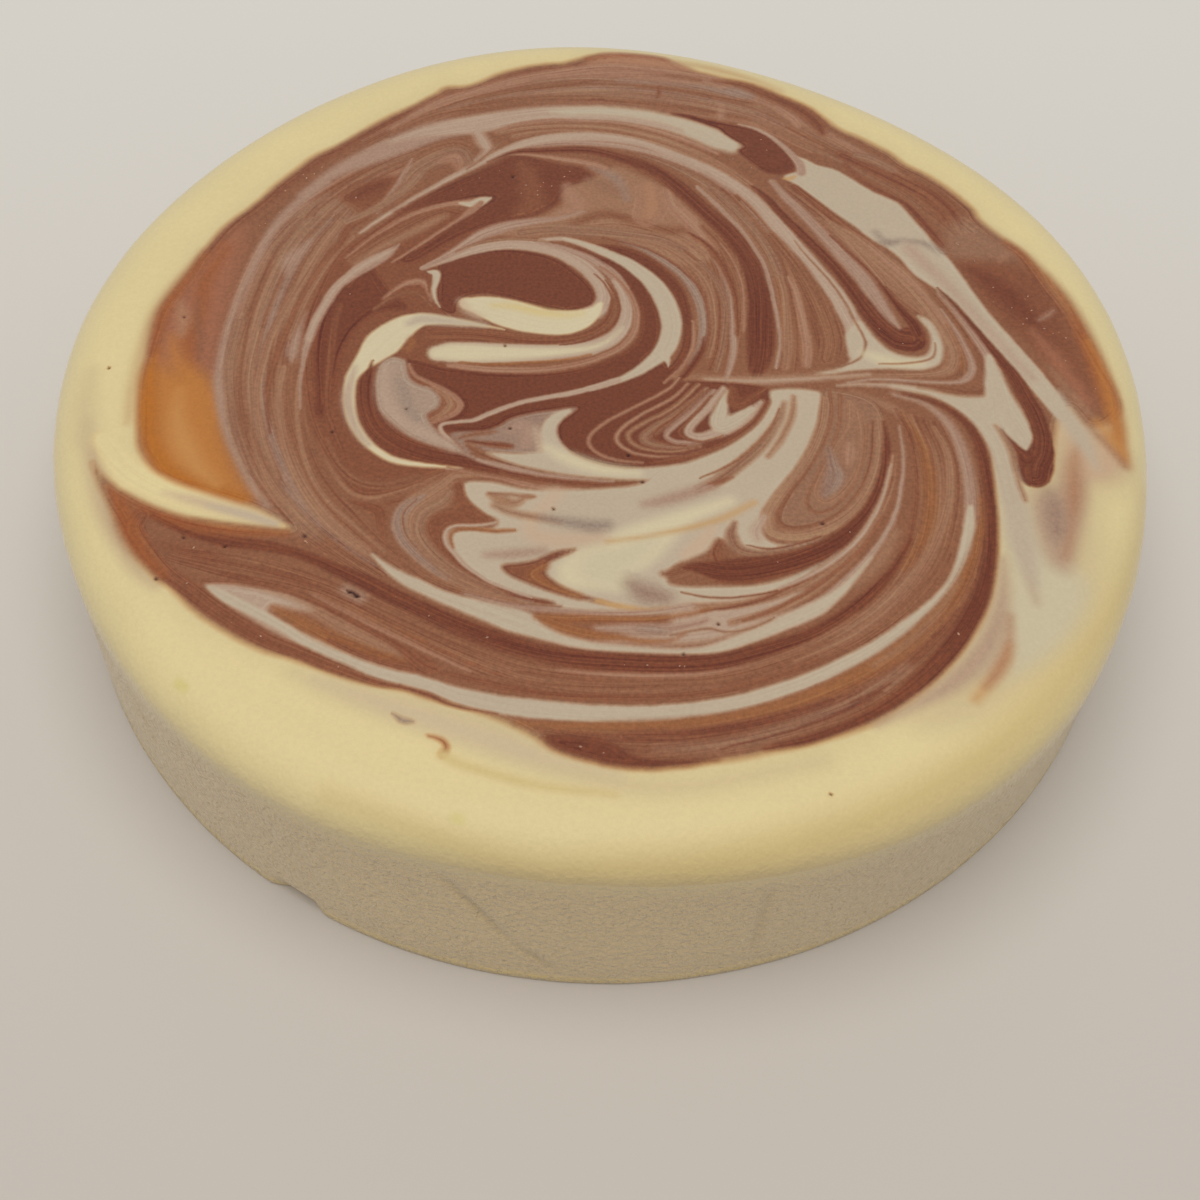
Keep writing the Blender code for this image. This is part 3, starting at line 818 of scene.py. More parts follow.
    # orange brown band beside the cream area
    streak("brown", 0.4, (36,53.5,0.8), (44,44.3,0.9), (48,40.2,0.8), (51.5,37,0.4))
    streak("tan", 0.5, (43,43.5,0.5), (48,38.5,1.5), (52,33.5,2), (56,28.3,2.2), (59.3,23,2), (61.7,18,1.6),
        (63.3,13,1.3), (64,9,1.2), (63,5.6,1.1), (60,4,0.8), (54,3.3,0.6), (48,3,0.5), (42,1.8,0.4))
    streak("pink", 0.5, (50,37.5,0.4), (58,27,0.5), (61,22,0.4), (63,17.5,0.4))

    # cream corner under the round end
    patch("cream", 0.4, (44.5,14), (47,17), (48.7,14.5), (50.3,11.8), (52.3,9.6), (55,8.2), (58.5,8.4),
        (60,11), (59.9,15), (58,18.8), (60.3,17.8), (61.9,14), (62.3,10), (61.3,6.6), (58,5), (52,4.9),
        (46,4.2), (41,3), (38,3), (43,4.8), (44.8,7), (44.2,10.5))
    streak("mocha", 0.25, (45.3,19,0.2), (47.7,12.5,0.25), (47.6,9.5,0.3), (46.3,7,0.25), (43,5,0.2),
        (38,3.3,0.2))
    streak("butter", 3.2, (47.5,8.5,0.6), (50.5,7.3,1.2), (54,6.6,0.9), (58,6.6,0.6))
    streak("mocha", 0.25, (60.8,12,0.1), (60.7,9.5,0.2), (59.3,7.6,0.25), (55,6.4,0.2), (50,6,0.15))

    # lines that run round the corner
    streak("blush", 0.35, (62.5,21,0.2), (65,15.5,0.4), (66.7,10,0.5), (67.2,5.7,0.7), (65.7,3,0.7),
        (62,2,0.4), (50,2.2,0.3), (44,1,0.3))
    streak("cocoa", 0.3, (61,26.5,0.2), (64,21.3,0.4), (67,15,0.5), (69,9.5,0.6), (69.7,4,0.7), (69,0.5,0.8),
        (66,-0.6,0.7), (62,0.2,0.5), (56,1,0.35), (48,1.2,0.3))
    streak("blush", 0.35, (62.5,25,0.2), (65.5,20,0.5), (68.3,14.5,0.8), (70.5,8.8,1), (71.6,4,1.2))
    streak("cream", 0.45, (70.6,9,0.7), (71.3,0,2.4), (71.9,-4,3.1), (73.3,-8,3), (74.6,-11.3,2.1),
        (75.2,-13.8,0.8))
    streak("dark", 0.3, (62.5,26.6,0.2), (66,21.2,0.5), (69.5,14.7,0.65), (74.6,4.5,1.25), (76,0,1.45),
        (77.6,-5,1.6), (78.2,-10,1.6), (77.6,-14,2.4), (76.3,-17,3.2), (75.8,-19.2,2.9))
    streak("dark", 0.35, (70.8,-8.5,0.2), (72.3,-11.3,0.4), (73.8,-13.8,0.8), (75,-15.5,1.6))

    # white band to the right of the big ring
    streak("pale", 0.7, (18,0.4,0.3), (26,0.4,0.5), (34,1.2,0.5), (48,3.3,0.2))
    streak("pale", 0.5, (42,0.2,0.15), (47,0.7,0.35), (52,0.7,0.5), (56,0.2,0.6))
    streak("cream", 0.6, (52,0.6,0.3), (58,-0.5,0.7), (61.5,-1.9,1), (65,-4.3,1.7), (67.7,-7.3,2.1),
        (69.4,-11,2), (70.5,-15,2), (71.3,-25,1.9))
    streak("cream", 3.6, (70.8,-18,1.2), (71.5,-26,2.2), (71.8,-33,2.4), (72.5,-39,1.6), (73,-43,0.5))
    patch("cream", 0.6, (60,-1), (65,-1.3), (69.5,-0.8), (71,2), (71,-6), (70,-8.5), (67,-5.5), (63.5,-2.8))
    streak("mocha", 0.6, (70,-8,0.1), (71.5,-11.4,0.35), (72.3,-15,0.4), (72.7,-20,0.3), (73.5,-25,0.3))
    streak("apricot", 3.8, (67.3,-56,0.3), (66,-59.5,0.7), (61,-66.5,0.3))
    streak("veil", 3.6, (68.3,-38,0.3), (67.4,-46,1.2), (65.3,-53,1.9), (61.8,-59,2.1), (57,-64,1.7),
        (51,-68.3,0.8), (45,-72,0.3))
    streak("skin", 3.2, (68.3,-50,0.2), (67.3,-56,0.6), (65.3,-60.5,0.8), (63,-64,0.3))

    # ring of brown between the swirl and the outer crescent
    streak("blush", 0.6, (52,-1.2,0.3), (57.5,-3.3,0.5), (61.4,-7.5,0.8), (63.3,-13,1), (64.1,-20,1.1),
        (64,-27,1.2), (63.2,-31.5,1.1))
    streak("tan", 1.8, (45,-1.5,0.6), (52,-5,0.8), (56,-10,0.6), (58.5,-16,0.6), (59,-24,0.6),
        (57.5,-32,0.6), (54,-40,0.6), (48,-47.5,0.6), (40,-54,0.5))
    streak("blush", 0.3, (52.7,-9,0.2), (53,-16,0.35), (52,-24,0.4), (50,-31,0.5), (46.5,-37.5,0.6),
        (42,-43.5,0.9), (38.5,-47.8,1.3), (34.5,-51,1.7), (25,-56,1.3), (20,-58.5,1.1), (14,-59.6,0.7),
        (2,-59.4,0.9), (-3,-58.6,1.2), (-8,-57,1.6))
    streak("cream", 0.4, (46,-38.8,0.2), (42.2,-44.3,0.6), (38.3,-48.3,1.1), (34.5,-51,1.4), (25,-56.2,1.2),
        (20,-58.6,1), (14,-59.7,0.5), (2,-59.5,0.7), (-3,-58.8,0.9), (-8,-57.2,1.4), (-12,-55.3,2.3),
        (-16,-53.8,2.3), (-29,-48.9,1.4), (-33,-46.9,1), (-35.8,-44.8,0.6), (-38,-42.6,0.2))
    streak("dark", 0.45, (-76,-36.5,0.6), (-70,-39.3,0.9), (-63,-41.2,1.3), (-56,-41.9,1.1), (-50,-43.3,0.9),
        (-44,-45.9,1.1), (-38,-48.8,1.5), (-32,-52,1.6), (-20,-57.7,1.9), (-7,-61.6,1.8), (8,-62.3,1.8),
        (16,-61.9,1.7), (22,-60.7,1.5), (33,-56.3,1.2), (38,-53.3,1.1), (42,-50,1.1), (46,-45.8,0.9),
        (50,-40.5,0.6), (53,-34.5,0.3))
    streak("cocoa", 2.8, (-73,-44,1), (-65,-45.3,1.7), (-57,-45.8,1.9), (-42,-51,2.1), (-19,-61.6,1.4),
        (-3,-65,0.5))
    streak("brown", 3.2, (-74,-42.3,0.2), (-66.5,-44.5,1.6), (-60,-46,0.2), (-52,-48,0.6), (-45,-50.2,0.4),
        (-38,-54,0.02))
    streak("blush", 3, (-41.5,-50.2,0.6), (-39,-51.6,0.7))
    # painted shade in the slit between the two deepest bubbles
    streak("hole_shade", 0.3, (-41.3,-50.2,0.12), (-40.3,-50.8,0.32), (-39.2,-51.5,0.15))
    streak("pink", 0.35, (-6,-64.2,0.2), (2,-64.7,0.4), (10,-64.5,0.4), (18,-63.7,0.3), (26,-61.5,0.3),
        (34,-57.8,0.3), (41,-53,0.3))
    streak("cocoa", 0.5, (-14,-66.3,0.4), (-4,-67.2,0.5), (6,-67,0.5), (16,-66,0.5), (26,-63.4,0.5),
        (34,-60,0.5))
    streak("tan", 0.5, (32,-60.5,0.2), (42,-55,0.6), (50,-47.3,0.7), (56,-38,0.7), (60,-27,0.8),
        (61,-16,0.6), (59,-9,0.3))
    streak("brown", 0.5, (-24,-65.8,0.4), (-14,-68,0.6), (-4,-69,0.6), (8,-68.6,0.6), (18,-67.3,0.5),
        (28,-64,0.4), (36,-60,0.3))
    streak("cocoa", 0.5, (-12,-64.9,0.3), (-2,-66,0.3), (8,-65.8,0.3), (20,-64.5,0.3), (30,-60.9,0.25),
        (38,-56.5,0.25))
    streak("cocoa", 1.8, (20,-64,0.3), (28,-61,0.7), (36,-57,0.7), (43,-51,0.3))
    streak("tan", 2, (43,-45,0.3), (47.4,-39.3,0.9), (50.5,-33,0.6))
    streak("gold", 2.6, (53.5,-6,0.2), (56.5,-13,0.8), (57.3,-22,1), (56,-32,0.9), (51.5,-41,0.3))

    # cream lens and its brown heart at the lower left
    patch("tan", 0.4, (-64.3,-50.3), (-58,-50.2), (-53,-50.8), (-48,-52.4), (-33,-60.3), (-29,-63),
        (-33,-62.5), (-38,-60.7), (-43,-58), (-48,-55), (-54,-53.5), (-60,-52.6))
    patch("pale", 0.8, (-64.3,-50.2), (-60,-50), (-55,-50.9), (-50,-52.6), (-46.5,-54.6), (-49.5,-54.6),
        (-53,-54.4), (-53.2,-56), (-49.5,-58.5), (-46,-60.6), (-48.5,-60.9), (-53.5,-58.6), (-62,-52.9))
    streak("cream", 0.35, (-64,-50.9,0.5), (-60.5,-53,1), (-51,-58,0.9), (-46.5,-60.8,1.2), (-37,-65,1.6),
        (-26,-68.3,1.3), (-20,-70.2,1.6), (-14,-71.3,1.7), (-7,-71.9,1.8), (0,-72.1,1.6), (8,-71.8,1.5),
        (15,-70.8,1.35), (22,-69.2,1.35), (28,-67.1,1.35), (34,-64.4,1.3), (40,-61,1.3), (45.5,-57.3,1.2),
        (50.3,-53.2,1.1), (54.3,-49.3,0.8), (58,-45,0.7), (60.7,-40.3,0.9), (62.2,-35.8,1.1), (63.2,-31.5,1),
        (63.8,-27,0.5))
    streak("brown", 0.4, (-65,-49.7,0.3), (-58,-49.6,0.4), (-51,-51,0.4), (-45,-53.5,0.5), (-35,-59,0.6),
        (-30.5,-61.8,0.9), (-27.7,-64.2,1.6), (-25.6,-65.2,1))
    streak("gold", 0.8, (-53,-54.3,0.3), (-50,-56,0.8), (-46,-58.3,1.2), (-41.5,-60.6,1.1), (-31,-64.3,0.8))
    streak("brown", 0.5, (-43,-60.3,0.4), (-38,-62.8,0.7), (-33,-64.4,0.8), (-29,-65.3,0.7))
    streak("pink", 0.4, (-47,-51.3,0.2), (-35,-57.8,0.3), (-20,-65.2,0.3))
    streak("brown", 0.4, (-78,-36.5,1.5), (-78.5,-39.5,1.5), (-75,-44.3,1.4), (-71.5,-48.2,1.4),
        (-66.5,-52,1.7), (-62,-55.5,1.6), (-57,-58.7,1.6), (-52,-61.3,1.4), (-47.5,-63,1.2), (-43,-64.9,1.2),
        (-35,-67.9,0.7), (-30,-68.8,0.45), (-26,-70.1,0.5), (-22,-71.7,0.35), (-15,-73,0.1))

    # cream tongue from the rim
    streak("custard", 0.8, (-88,-20,1.6), (-83,-26,2.4), (-78,-29.5,2.4), (-72,-32,2), (-60,-35.5,1),
        (-53.8,-37.5,0.15))
    streak("linen", 2.8, (-75,-31.4,0.1), (-70,-32.7,0.9), (-60,-35.4,1.1), (-55.5,-36.9,0.7))
    streak("cream", 2, (-67,-33.8,0.2), (-61,-35.3,0.6), (-55,-37.1,0.5))
    streak("gold", 2, (-69,-36.8,0.2), (-58,-38.2,0.4), (-53,-38.6,0.2))
    streak("rust", 2.8, (-84.5,-30.5,0.3), (-81.8,-35,1.5), (-79.3,-40,1.8), (-76.3,-44.6,1.3),
        (-72,-49,0.6))
    streak("rust", 2.6, (-82,-32,0.3), (-76,-35.6,0.9), (-69,-38,1.1), (-61,-39,0.9), (-53,-39,0.4))

    # outer crescent at the bottom
    streak("gold", 1.8, (-12,-74.6,0.3), (3,-74.3,0.9), (20,-72.3,1), (35,-67,1.3), (49,-57.8,1.5),
        (59,-46.3,1.2), (65,-32.5,0.7), (65.8,-25,0.4))
    streak("tan", 2.4, (45,-60.8,0.2), (51,-56,0.5), (56.3,-50,0.5), (60.3,-43,0.2))
    streak("brown", 0.6, (5,-76,1), (15,-75.3,1.2), (25,-73,1.2), (33,-70.3,1), (38,-68,0.6))
    patch("dark", 0.7, (-7,-76.5), (-2,-76.3), (3,-77.2), (7,-79.5), (13,-80), (20,-79.6), (13,-81.2),
        (8,-81.7), (3,-81.4), (-2,-80.2), (-6,-78.6))
    streak("mocha", 2, (10,-78,0.4), (18,-77.3,0.8), (26,-75.3,1), (40,-69,1.1), (46,-64.8,1.2),
        (50.5,-61,0.7))
    streak("dark", 0.5, (27,-77.3,0.3), (33,-75.6,0.8), (39,-73,0.8), (45,-69.5,1), (50,-65.5,1.3),
        (54.5,-61,1.6), (58.5,-56,1.7), (62,-50,1.6), (64.6,-44,1.4), (66.3,-37,1.2), (67.2,-29,1.1),
        (67.4,-21,1.1), (67,-14,1.1), (65.5,-8.5,0.9), (62.5,-4.7,0.7), (58.5,-2.3,0.5), (54,-1.2,0.3))
    streak("dark", 0.35, (20,-77.7,0.1), (30,-74.3,0.2), (41,-69.3,0.3), (46,-65.8,0.2))
    streak("dark", 0.35, (41,-68.2,0.1), (44.5,-66.3,0.25), (47.5,-64,0.1))

    # hook and mark in the custard
    streak("rust", 0.5, (-25.6,-77.4,0.1), (-23.4,-78.1,0.35), (-22.5,-79.3,0.45), (-22.9,-80.7,0.6))
    streak("ochre", 2, (-22.9,-80.8,0.9), (-19.5,-82.5,0.8), (-8,-85.5,0.7), (4,-86.5,0.4))
    streak("grey", 0.5, (-31.3,-73.8,0.1), (-29.6,-74.9,0.5), (-28,-75,0.2))

    # heart of the swirl
    patch("dark", 0.4, (-37,2), (-33.5,1.6), (-29,0.3), (-20,-0.1), (-12,0.3), (-6,1.6), (-1,3.8), (3,6.6),
        (5.4,10), (5.9,15), (5.2,19), (3.8,22.5), (1.3,26), (-2,29), (-7,33.1), (-12,34.4), (-7,33.8),
        (-2.5,31.6), (2,29.6), (5.4,26.5), (8,21.5), (9.5,16), (9.6,11), (8.8,7.5), (6.5,4.3), (10,5.3),
        (11.3,3.3), (13.3,7), (14,12), (13.5,17), (12,22), (9,26), (5,29.5), (1,32.3), (-3,34.6), (2,34.3),
        (7,32), (11,28), (14,23), (15.3,17), (15.5,11), (14.5,5), (12,0), (20,0), (29,-1), (29.5,-5),
        (27,-10), (22,-14.8), (16,-18.5), (10,-20.6), (4,-21.3), (-1,-20.6), (-5,-18.8), (-7.6,-16.5),
        (-8.4,-14), (-8.2,-11.5), (-5.2,-7.9), (-9.5,-8.7), (-14,-9.9), (-17,-11.2), (-19,-13), (-22,-14.3),
        (-27,-14.9), (-30,-13.5), (-30.5,-12.5), (-27.5,-11.5), (-25.7,-9.5), (-25.7,-8), (-27.5,-6),
        (-31,-3.8), (-34.5,-1.8))
    patch("dark", 0.3, (-33,27.5), (-30,29.2), (-25,31.5), (-20,32.2), (-15,31.6), (-11,30.3), (-7,27.1),
        (-4,23.5), (-2.8,20.6), (-3.6,18), (-6,16.8), (-10,16.5), (-20,19.5), (-24,20), (-27.5,19),
        (-28.8,17), (-29,14.5), (-31.5,15.3), (-32.5,18), (-32.7,22))

    # long arcs round the heart
    streak("lavender", 0.4, (1.5,36,0.3), (6,34,0.6), (10,31,0.8), (13.7,27.3,0.9), (16.2,22.5,0.9),
        (17.4,18,0.9), (17.6,13,0.8), (16.8,8,0.5), (15.3,4,0.3))
    streak("brown", 0.3, (-2,36.7,0.2), (4,35.2,0.25), (8.3,33.2,0.3), (12.3,30,0.3), (15.7,26,0.3),
        (17.6,22,0.25), (18.5,17,0.2), (18.6,12,0.2), (17.8,8,0.25), (16.3,4,0.3), (14,0.5,0.3))
    streak("tan", 0.4, (4,36.8,0.4), (9.5,35,0.5), (13.5,31.9,0.6), (17,27.8,0.6), (19,23,0.6),
        (19.7,17.5,0.6), (19.7,12,0.5), (18.7,6,0.4))
    streak("brown", 0.3, (14,34,0.15), (17.8,29.8,0.2), (19.9,25,0.2), (20.8,19,0.2), (20.7,13,0.25),
        (20,7,0.25), (18.6,2.5,0.2))
    streak("mocha", 0.4, (17,31,0.6), (20,26.3,0.7), (21.8,20,0.7), (21.8,14,0.7), (21.1,8,0.6),
        (20,2.5,0.4))
    streak("blush", 0.3, (19.7,32,0.2), (21.6,27.5,0.35), (22.9,22,0.4), (23.3,10,0.65), (22.7,4.5,0.6),
        (21.8,0.8,0.4))
    streak("brown", 0.4, (15,38.8,0.4), (18,36.2,0.7), (20.2,32.7,0.8), (21.6,29.5,0.75), (23.7,22,0.6),
        (24,12,0.4))
    streak("cocoa", 0.5, (17.5,41,0.6), (21,36,0.9), (23.3,30.5,0.9), (24.7,25,0.7), (25,19,0.5))
    streak("pink", 0.3, (21,36.5,0.15), (23.5,31.5,0.2), (24.9,26,0.3), (25.3,20,0.3), (25.2,13,0.25))
    streak("dark", 0.35, (17.7,11,0.2), (17.3,8,0.5), (16,4.5,0.6), (14,1,0.5), (11.5,-2,0.3))
    streak("pink", 0.3, (15.7,15,0.2), (15.8,10,0.3), (15,6,0.3), (13,2.3,0.3), (10.5,-0.8,0.25))

    # creams of the heart
    streak("pale", 0.3, (-4.5,15.2,2), (-2,17.3,1.6), (-1.2,20.5,1.4), (-2.2,24.3,1.5), (-5,28.2,1.6),
        (-9,31.3,1.5), (-13,33,1.4), (-18,33.7,1.3), (-23,33,1.2), (-28,31,1), (-32,28.7,0.85),
        (-36,26.2,0.5))
    streak("blush", 0.3, (2.6,23,0.9), (0.4,26.5,1.1), (-3,29.8,0.9), (-6.5,32,0.7), (-10,33.5,0.5),
        (-14,34.5,0.3))
    streak("pale", 0.3, (-14,35.3,0.4), (-9.5,35.9,0.6), (-5.2,34.4,0.8), (-1.5,32.7,0.9))
    streak("blush", 0.4, (-36,26,0.4), (-30.5,30.8,0.9), (-26,35.5,1.3), (-23,37.5,1.5), (-20,39,1.3),
        (-15,40.6,0.9), (-10,41.9,0.6), (-6,43.8,0.3))
    streak("mocha", 0.3, (-30,31,0.2), (-27,33.2,0.3), (-23,34.8,0.3), (-18,35.3,0.3), (-13,35.2,0.15))
    streak("cream", 0.3, (-9.5,36,0.3), (-5.2,34.5,0.6), (2,30.6,1.2), (5.4,27.8,1.5), (8.3,24.3,1.8),
        (10.4,20,1.95), (11.6,15.3,1.95), (11.5,11,1.9), (10.2,7,1.8), (7.5,3.5,1.2), (4.5,0.8,0.85),
        (1.5,-1,0.65), (-3,-3.1,0.6))
    streak("cream", 0.25, (10.3,6.3,1.1), (11,4.7,0.5), (11.3,3.2,0.1))
    streak("pale", 0.25, (2,-0.6,0.6), (-5.2,-4,0.6), (-14.2,-6.7,0.5), (-20.3,-9.8,0.5), (-23.2,-11.7,0.45),
        (-26.5,-12.4,0.35), (-28.7,-13,0.35), (-29.2,-14,0.4), (-28.5,-15.4,0.4), (-26.8,-17.1,0.3))
    streak("pale", 0.3, (-31,4.1,1.9), (-29,4.5,2.4), (-25,4.65,2.55), (-20,4.75,2.5), (-10,5.5,2.05),
        (-5,6.5,1.9), (-1.5,8,1.7), (1.2,10.3,1.5), (2.8,13.5,1.3), (3.2,17.5,1.1), (2.6,21.5,1), (1,25,0.8))
    streak("butter", 1.8, (-31.3,4.1,1.5), (-29,4.5,2), (-25,4.6,2.1), (-15,5.1,1.5), (-5,6.6,0.7),
        (-0.5,8.7,0.4), (2.5,12.5,0.1))
    streak("pink", 0.3, (-29,1.2,0.5), (-24,0.7,0.7), (-18,0.6,0.7), (-12,1.1,0.7), (-6,2.6,0.65),
        (-1,5,0.6), (2.6,7.8,0.6), (4.6,11.5,0.6), (5.1,15.3,0.6), (4.6,19,0.55), (3.2,22.5,0.5),
        (1,25.8,0.4), (-2,28.6,0.3))
    streak("gold", 0.3, (-27,2,0.2), (-20,2,0.3), (-8,3.8,0.3), (-3,5.5,0.2))
    streak("brown", 0.35, (-34,8.8,1.1), (-30,9.3,1.7), (-25,9.5,1.7), (-15,8.6,1.1), (-10,8.7,0.9),
        (-6,9.6,0.75), (-3,11.2,0.6), (-0.7,13.6,0.5), (0.3,16.5,0.35), (0.6,20,0.2))
    streak("butter", 0.3, (-26.7,17.2,1.6), (-24,16.7,2.6), (-20,15.5,3.5), (-16,14.2,3.6), (-12,13.3,3.2),
        (-8.5,13.3,3.1), (-5,14.6,2.4), (-2.8,16.5,1.3), (-1.8,18.5,0.6))
    streak("ochre", 2.6, (-22,17,0.3), (-18,17,0.7), (-13,15.7,0.8), (-8,15.3,0.5), (-5,16,0.2))
    streak("haze", 2.6, (-27.8,17.6,0.6), (-26.5,15.3,0.5), (-24,13.8,0.3))
    streak("brown", 0.2, (-14,9,0.1), (-9,9.5,0.2), (-5,10.5,0.25), (-1.7,13,0.25), (-0.2,16,0.2),
        (0.4,20,0.2), (-0.9,23.6,0.2), (-3,26.5,0.15))
    streak("brown", 0.2, (-9,7.5,0.15), (-5.5,8.3,0.25), (-2.5,9.9,0.3), (0.2,12.5,0.3), (1.6,15.6,0.3),
        (1.7,18.8,0.25), (0.8,22,0.2), (-1,25,0.15))

    # left cream crescent
    streak("butter", 0.35, (-19.5,10.9,0.1), (-24,11.7,0.4), (-33,12.7,1.35), (-36.5,11.7,2.2),
        (-39.3,9.2,3), (-41.5,6,3.4), (-43.3,3,2.6), (-45,0,1.6), (-46.2,-3,1.15), (-46.2,-7,1.05),
        (-45.6,-10.5,1), (-44.2,-14.5,0.9), (-41.7,-18,0.8), (-39,-20.5,0.75), (-36,-22,0.7),
        (-32,-22.6,0.55), (-25,-22.9,0.25))
    streak("pale", 2, (-45.9,0,0.2), (-46.4,-8,0.8), (-44,-15,0.6), (-41.5,-18.5,0.4))
    streak("cocoa", 2.4, (-66.8,14,0.02), (-66.5,2,0.2), (-64.5,-10,0.2), (-60.5,-20,0.2), (-55,-29,0.02))
    streak("cream", 1.8, (-23,11.7,0.3), (-34,12.6,1.2), (-37,11.4,0.8))
    streak("gold", 1.8, (-36.4,7.6,0.3), (-36.2,6,0.6), (-37,4.4,0.3))
    streak("pink", 0.3, (-27,-23,0.2), (-22,-24.2,0.3), (-18,-24.9,0.3), (-14,-26,0.5), (-9,-26.8,0.5),
        (-4,-26.6,0.3))
    streak("dark", 0.35, (-42.9,1.6,0.1), (-43.2,-1.6,0.6), (-43.3,-5,1.5), (-42.4,-10,1.7), (-40.2,-14.6,2),
        (-36.6,-18,2.2), (-32,-20,1.9), (-27,-21.1,1.5), (-22,-21.9,1.35), (-12,-24.2,1.05))
    streak("brown", 0.3, (-17,-23.4,1.1), (-12,-24.3,1.1), (-7,-25,0.85), (-2,-25.3,0.65), (3,-25.1,0.4),
        (6.5,-24.5,0.15))

    # lavender leaf
    patch("lilac", 0.4, (-41.2,0.8), (-41.7,-1.6), (-41.5,-5.2), (-40.8,-8.8), (-39.6,-11.3), (-35.1,-15.7),
        (-31.8,-17.5), (-25,-19.8), (-22.1,-21.1), (-18,-22.3), (-12,-23.5), (-17,-21.8), (-22.5,-20.3),
        (-26.8,-17.1), (-29.3,-15.3), (-31.6,-11.7), (-31.3,-10.4), (-30,-9.2), (-29.7,-7.4), (-30.4,-5.6),
        (-31.8,-4.5), (-34,-3.8), (-35.8,-2.3), (-36.5,0), (-37,2), (-39.5,2.6))
    streak("pale", 3.2, (-40.2,0,0.7), (-40.2,-5,1), (-38.7,-9.5,1.1), (-35.5,-13.3,1), (-26.5,-18.2,0.6))
    streak("grey", 3.2, (-37.5,-3,0.2), (-36.3,-6,0.5), (-35.3,-9,0.4), (-33.5,-12,0.4))
    streak("tan", 0.6, (-31.2,-4.4,0.3), (-29,-6.2,0.7), (-28,-8.3,0.9), (-29.2,-10.5,0.7), (-30.8,-12,0.4))
    streak("pink", 0.3, (-36.2,1,0.3), (-35,-1.4,0.35), (-33,-2.7,0.4), (-28.3,-5.4,0.45), (-26.6,-7.1,0.5),
        (-26,-8.5,0.6), (-26.6,-10,0.55), (-28.2,-11.4,0.45), (-30.8,-13,0.25))

    # cream sliver and little arches beside it
    streak("pink", 0.4, (-42.5,17.5,0.3), (-40,20.7,0.6), (-37.5,22.3,0.8), (-35.6,22.3,0.7),
        (-34.6,20.5,0.4), (-33.6,17.5,0.3))
    streak("cocoa", 0.4, (-44,14.5,0.4), (-41,17.7,0.6), (-38,19.3,0.7), (-35.7,18.7,0.5), (-33.5,16.2,0.3))
    streak("brown", 0.25, (-41,19,0.15), (-38.5,20.9,0.25), (-36.3,20.9,0.25), (-35,19.3,0.2), (-34,17,0.15))
    streak("brown", 0.25, (-36,24.8,0.15), (-35,23.7,0.25), (-34.1,19.8,0.2))
    streak("cream", 0.25, (-34.8,25.2,0.3), (-33.4,24.9,0.85), (-33.2,22.9,0.65), (-33.4,20.5,0.45),
        (-32.9,18,0.3), (-31.8,15.9,0.1))

    # cream tips at the upper left of the heart
    streak("pink", 0.35, (-25.5,46.2,0.5), (-29,45,0.8), (-32,44.5,0.55), (-35.5,43.2,0.55), (-39,41.2,0.5),
        (-42.5,38.3,0.4), (-47,33.5,0.3), (-51,28,0.2))
    streak("cream", 0.3, (-24.5,46.7,0.25), (-26.2,45.7,1.1), (-28,44.6,0.9), (-30.3,44.7,0.4))
    streak("pink", 0.3, (-26.2,45.2,0.6), (-28,42.7,0.8), (-30,40.4,0.45), (-32.4,37.8,0.4), (-38.5,31,0.3),
        (-42,27.5,0.2))
    streak("tan", 1.8, (-33,41,0.5), (-37,38,1.2), (-45,31,0.8), (-49,26.5,0.6))
    streak("cocoa", 0.5, (-33,42.3,0.5), (-36.5,40.3,0.9), (-40.5,37,1), (-45,33,0.8), (-50,27.5,0.6))
    streak("blush", 0.3, (-41.2,32.4,0.15), (-42.6,30.3,0.9), (-44.7,28.3,1.4), (-47,26,1.5),
        (-49.3,23.4,1.2), (-51.5,20.1,1), (-53,16,0.9), (-55,8,0.9), (-55.4,0,0.45), (-55.3,-5,0.3),
        (-54.5,-11,0.2))
    streak("pale", 0.5, (-42.5,30.6,0.3), (-44.5,28.8,0.7), (-47.5,26,0.7), (-52,19.5,0.7), (-54.6,11,0.5),
        (-55.2,6,0.4))

    # triangle of lavender and the cream foot
    patch("lavender", 0.35, (-5.2,-7.9), (-8.2,-11.5), (-8.4,-14), (-7.6,-16.5), (-9,-19), (-13,-19.2),
        (-20.5,-18.9), (-24,-19.5), (-25.3,-17.6), (-27.1,-15.7), (-26.8,-14.9), (-24.6,-14.6), (-21,-14.2),
        (-18.5,-12.8), (-16.3,-11), (-13.1,-9.7), (-9.5,-8.8))
    streak("cocoa", 0.5, (-25.5,-16,0.3), (-22.5,-15,0.5), (-19.5,-14.3,0.3))
    streak("blush", 2.8, (-17,-14,0.6), (-15,-12.5,1.2), (-13.5,-14.5,1.3), (-14,-17,0.9))
    streak("cream", 0.35, (-6.5,-8.7,0.5), (-8.7,-10.3,1.1), (-9.9,-13,1.4), (-9.6,-16,1.7), (-8,-18.8,1.9))
    streak("haze", 2, (-12.3,-13,0.2), (-11.7,-16,0.35), (-11.2,-18.3,0.3))
    streak("brown", 0.4, (-24.2,-16.8,0.4), (-18.5,-17.4,0.75), (-16.3,-17.5,0.55))
    streak("cocoa", 0.5, (-24,-17.6,0.5), (-22.5,-18.8,0.9), (-20.5,-20,0.7), (-17,-21.3,0.4),
        (-11,-23,0.25))
    streak("blush", 0.3, (-22,-21,0.3), (-17,-22.4,0.5), (-11,-23.6,0.5), (-5,-24.3,0.35), (2,-24.5,0.2))
    patch("cream", 0.45, (-20.5,-19.1), (-15,-19.1), (-10.5,-18.3), (-8,-16.9), (-5,-19), (-1,-20.8),
        (4,-21.5), (10,-20.8), (14,-20.2), (16,-22.5), (12,-23.3), (6,-24), (-5,-23.6), (-12,-22.5),
        (-17,-21))
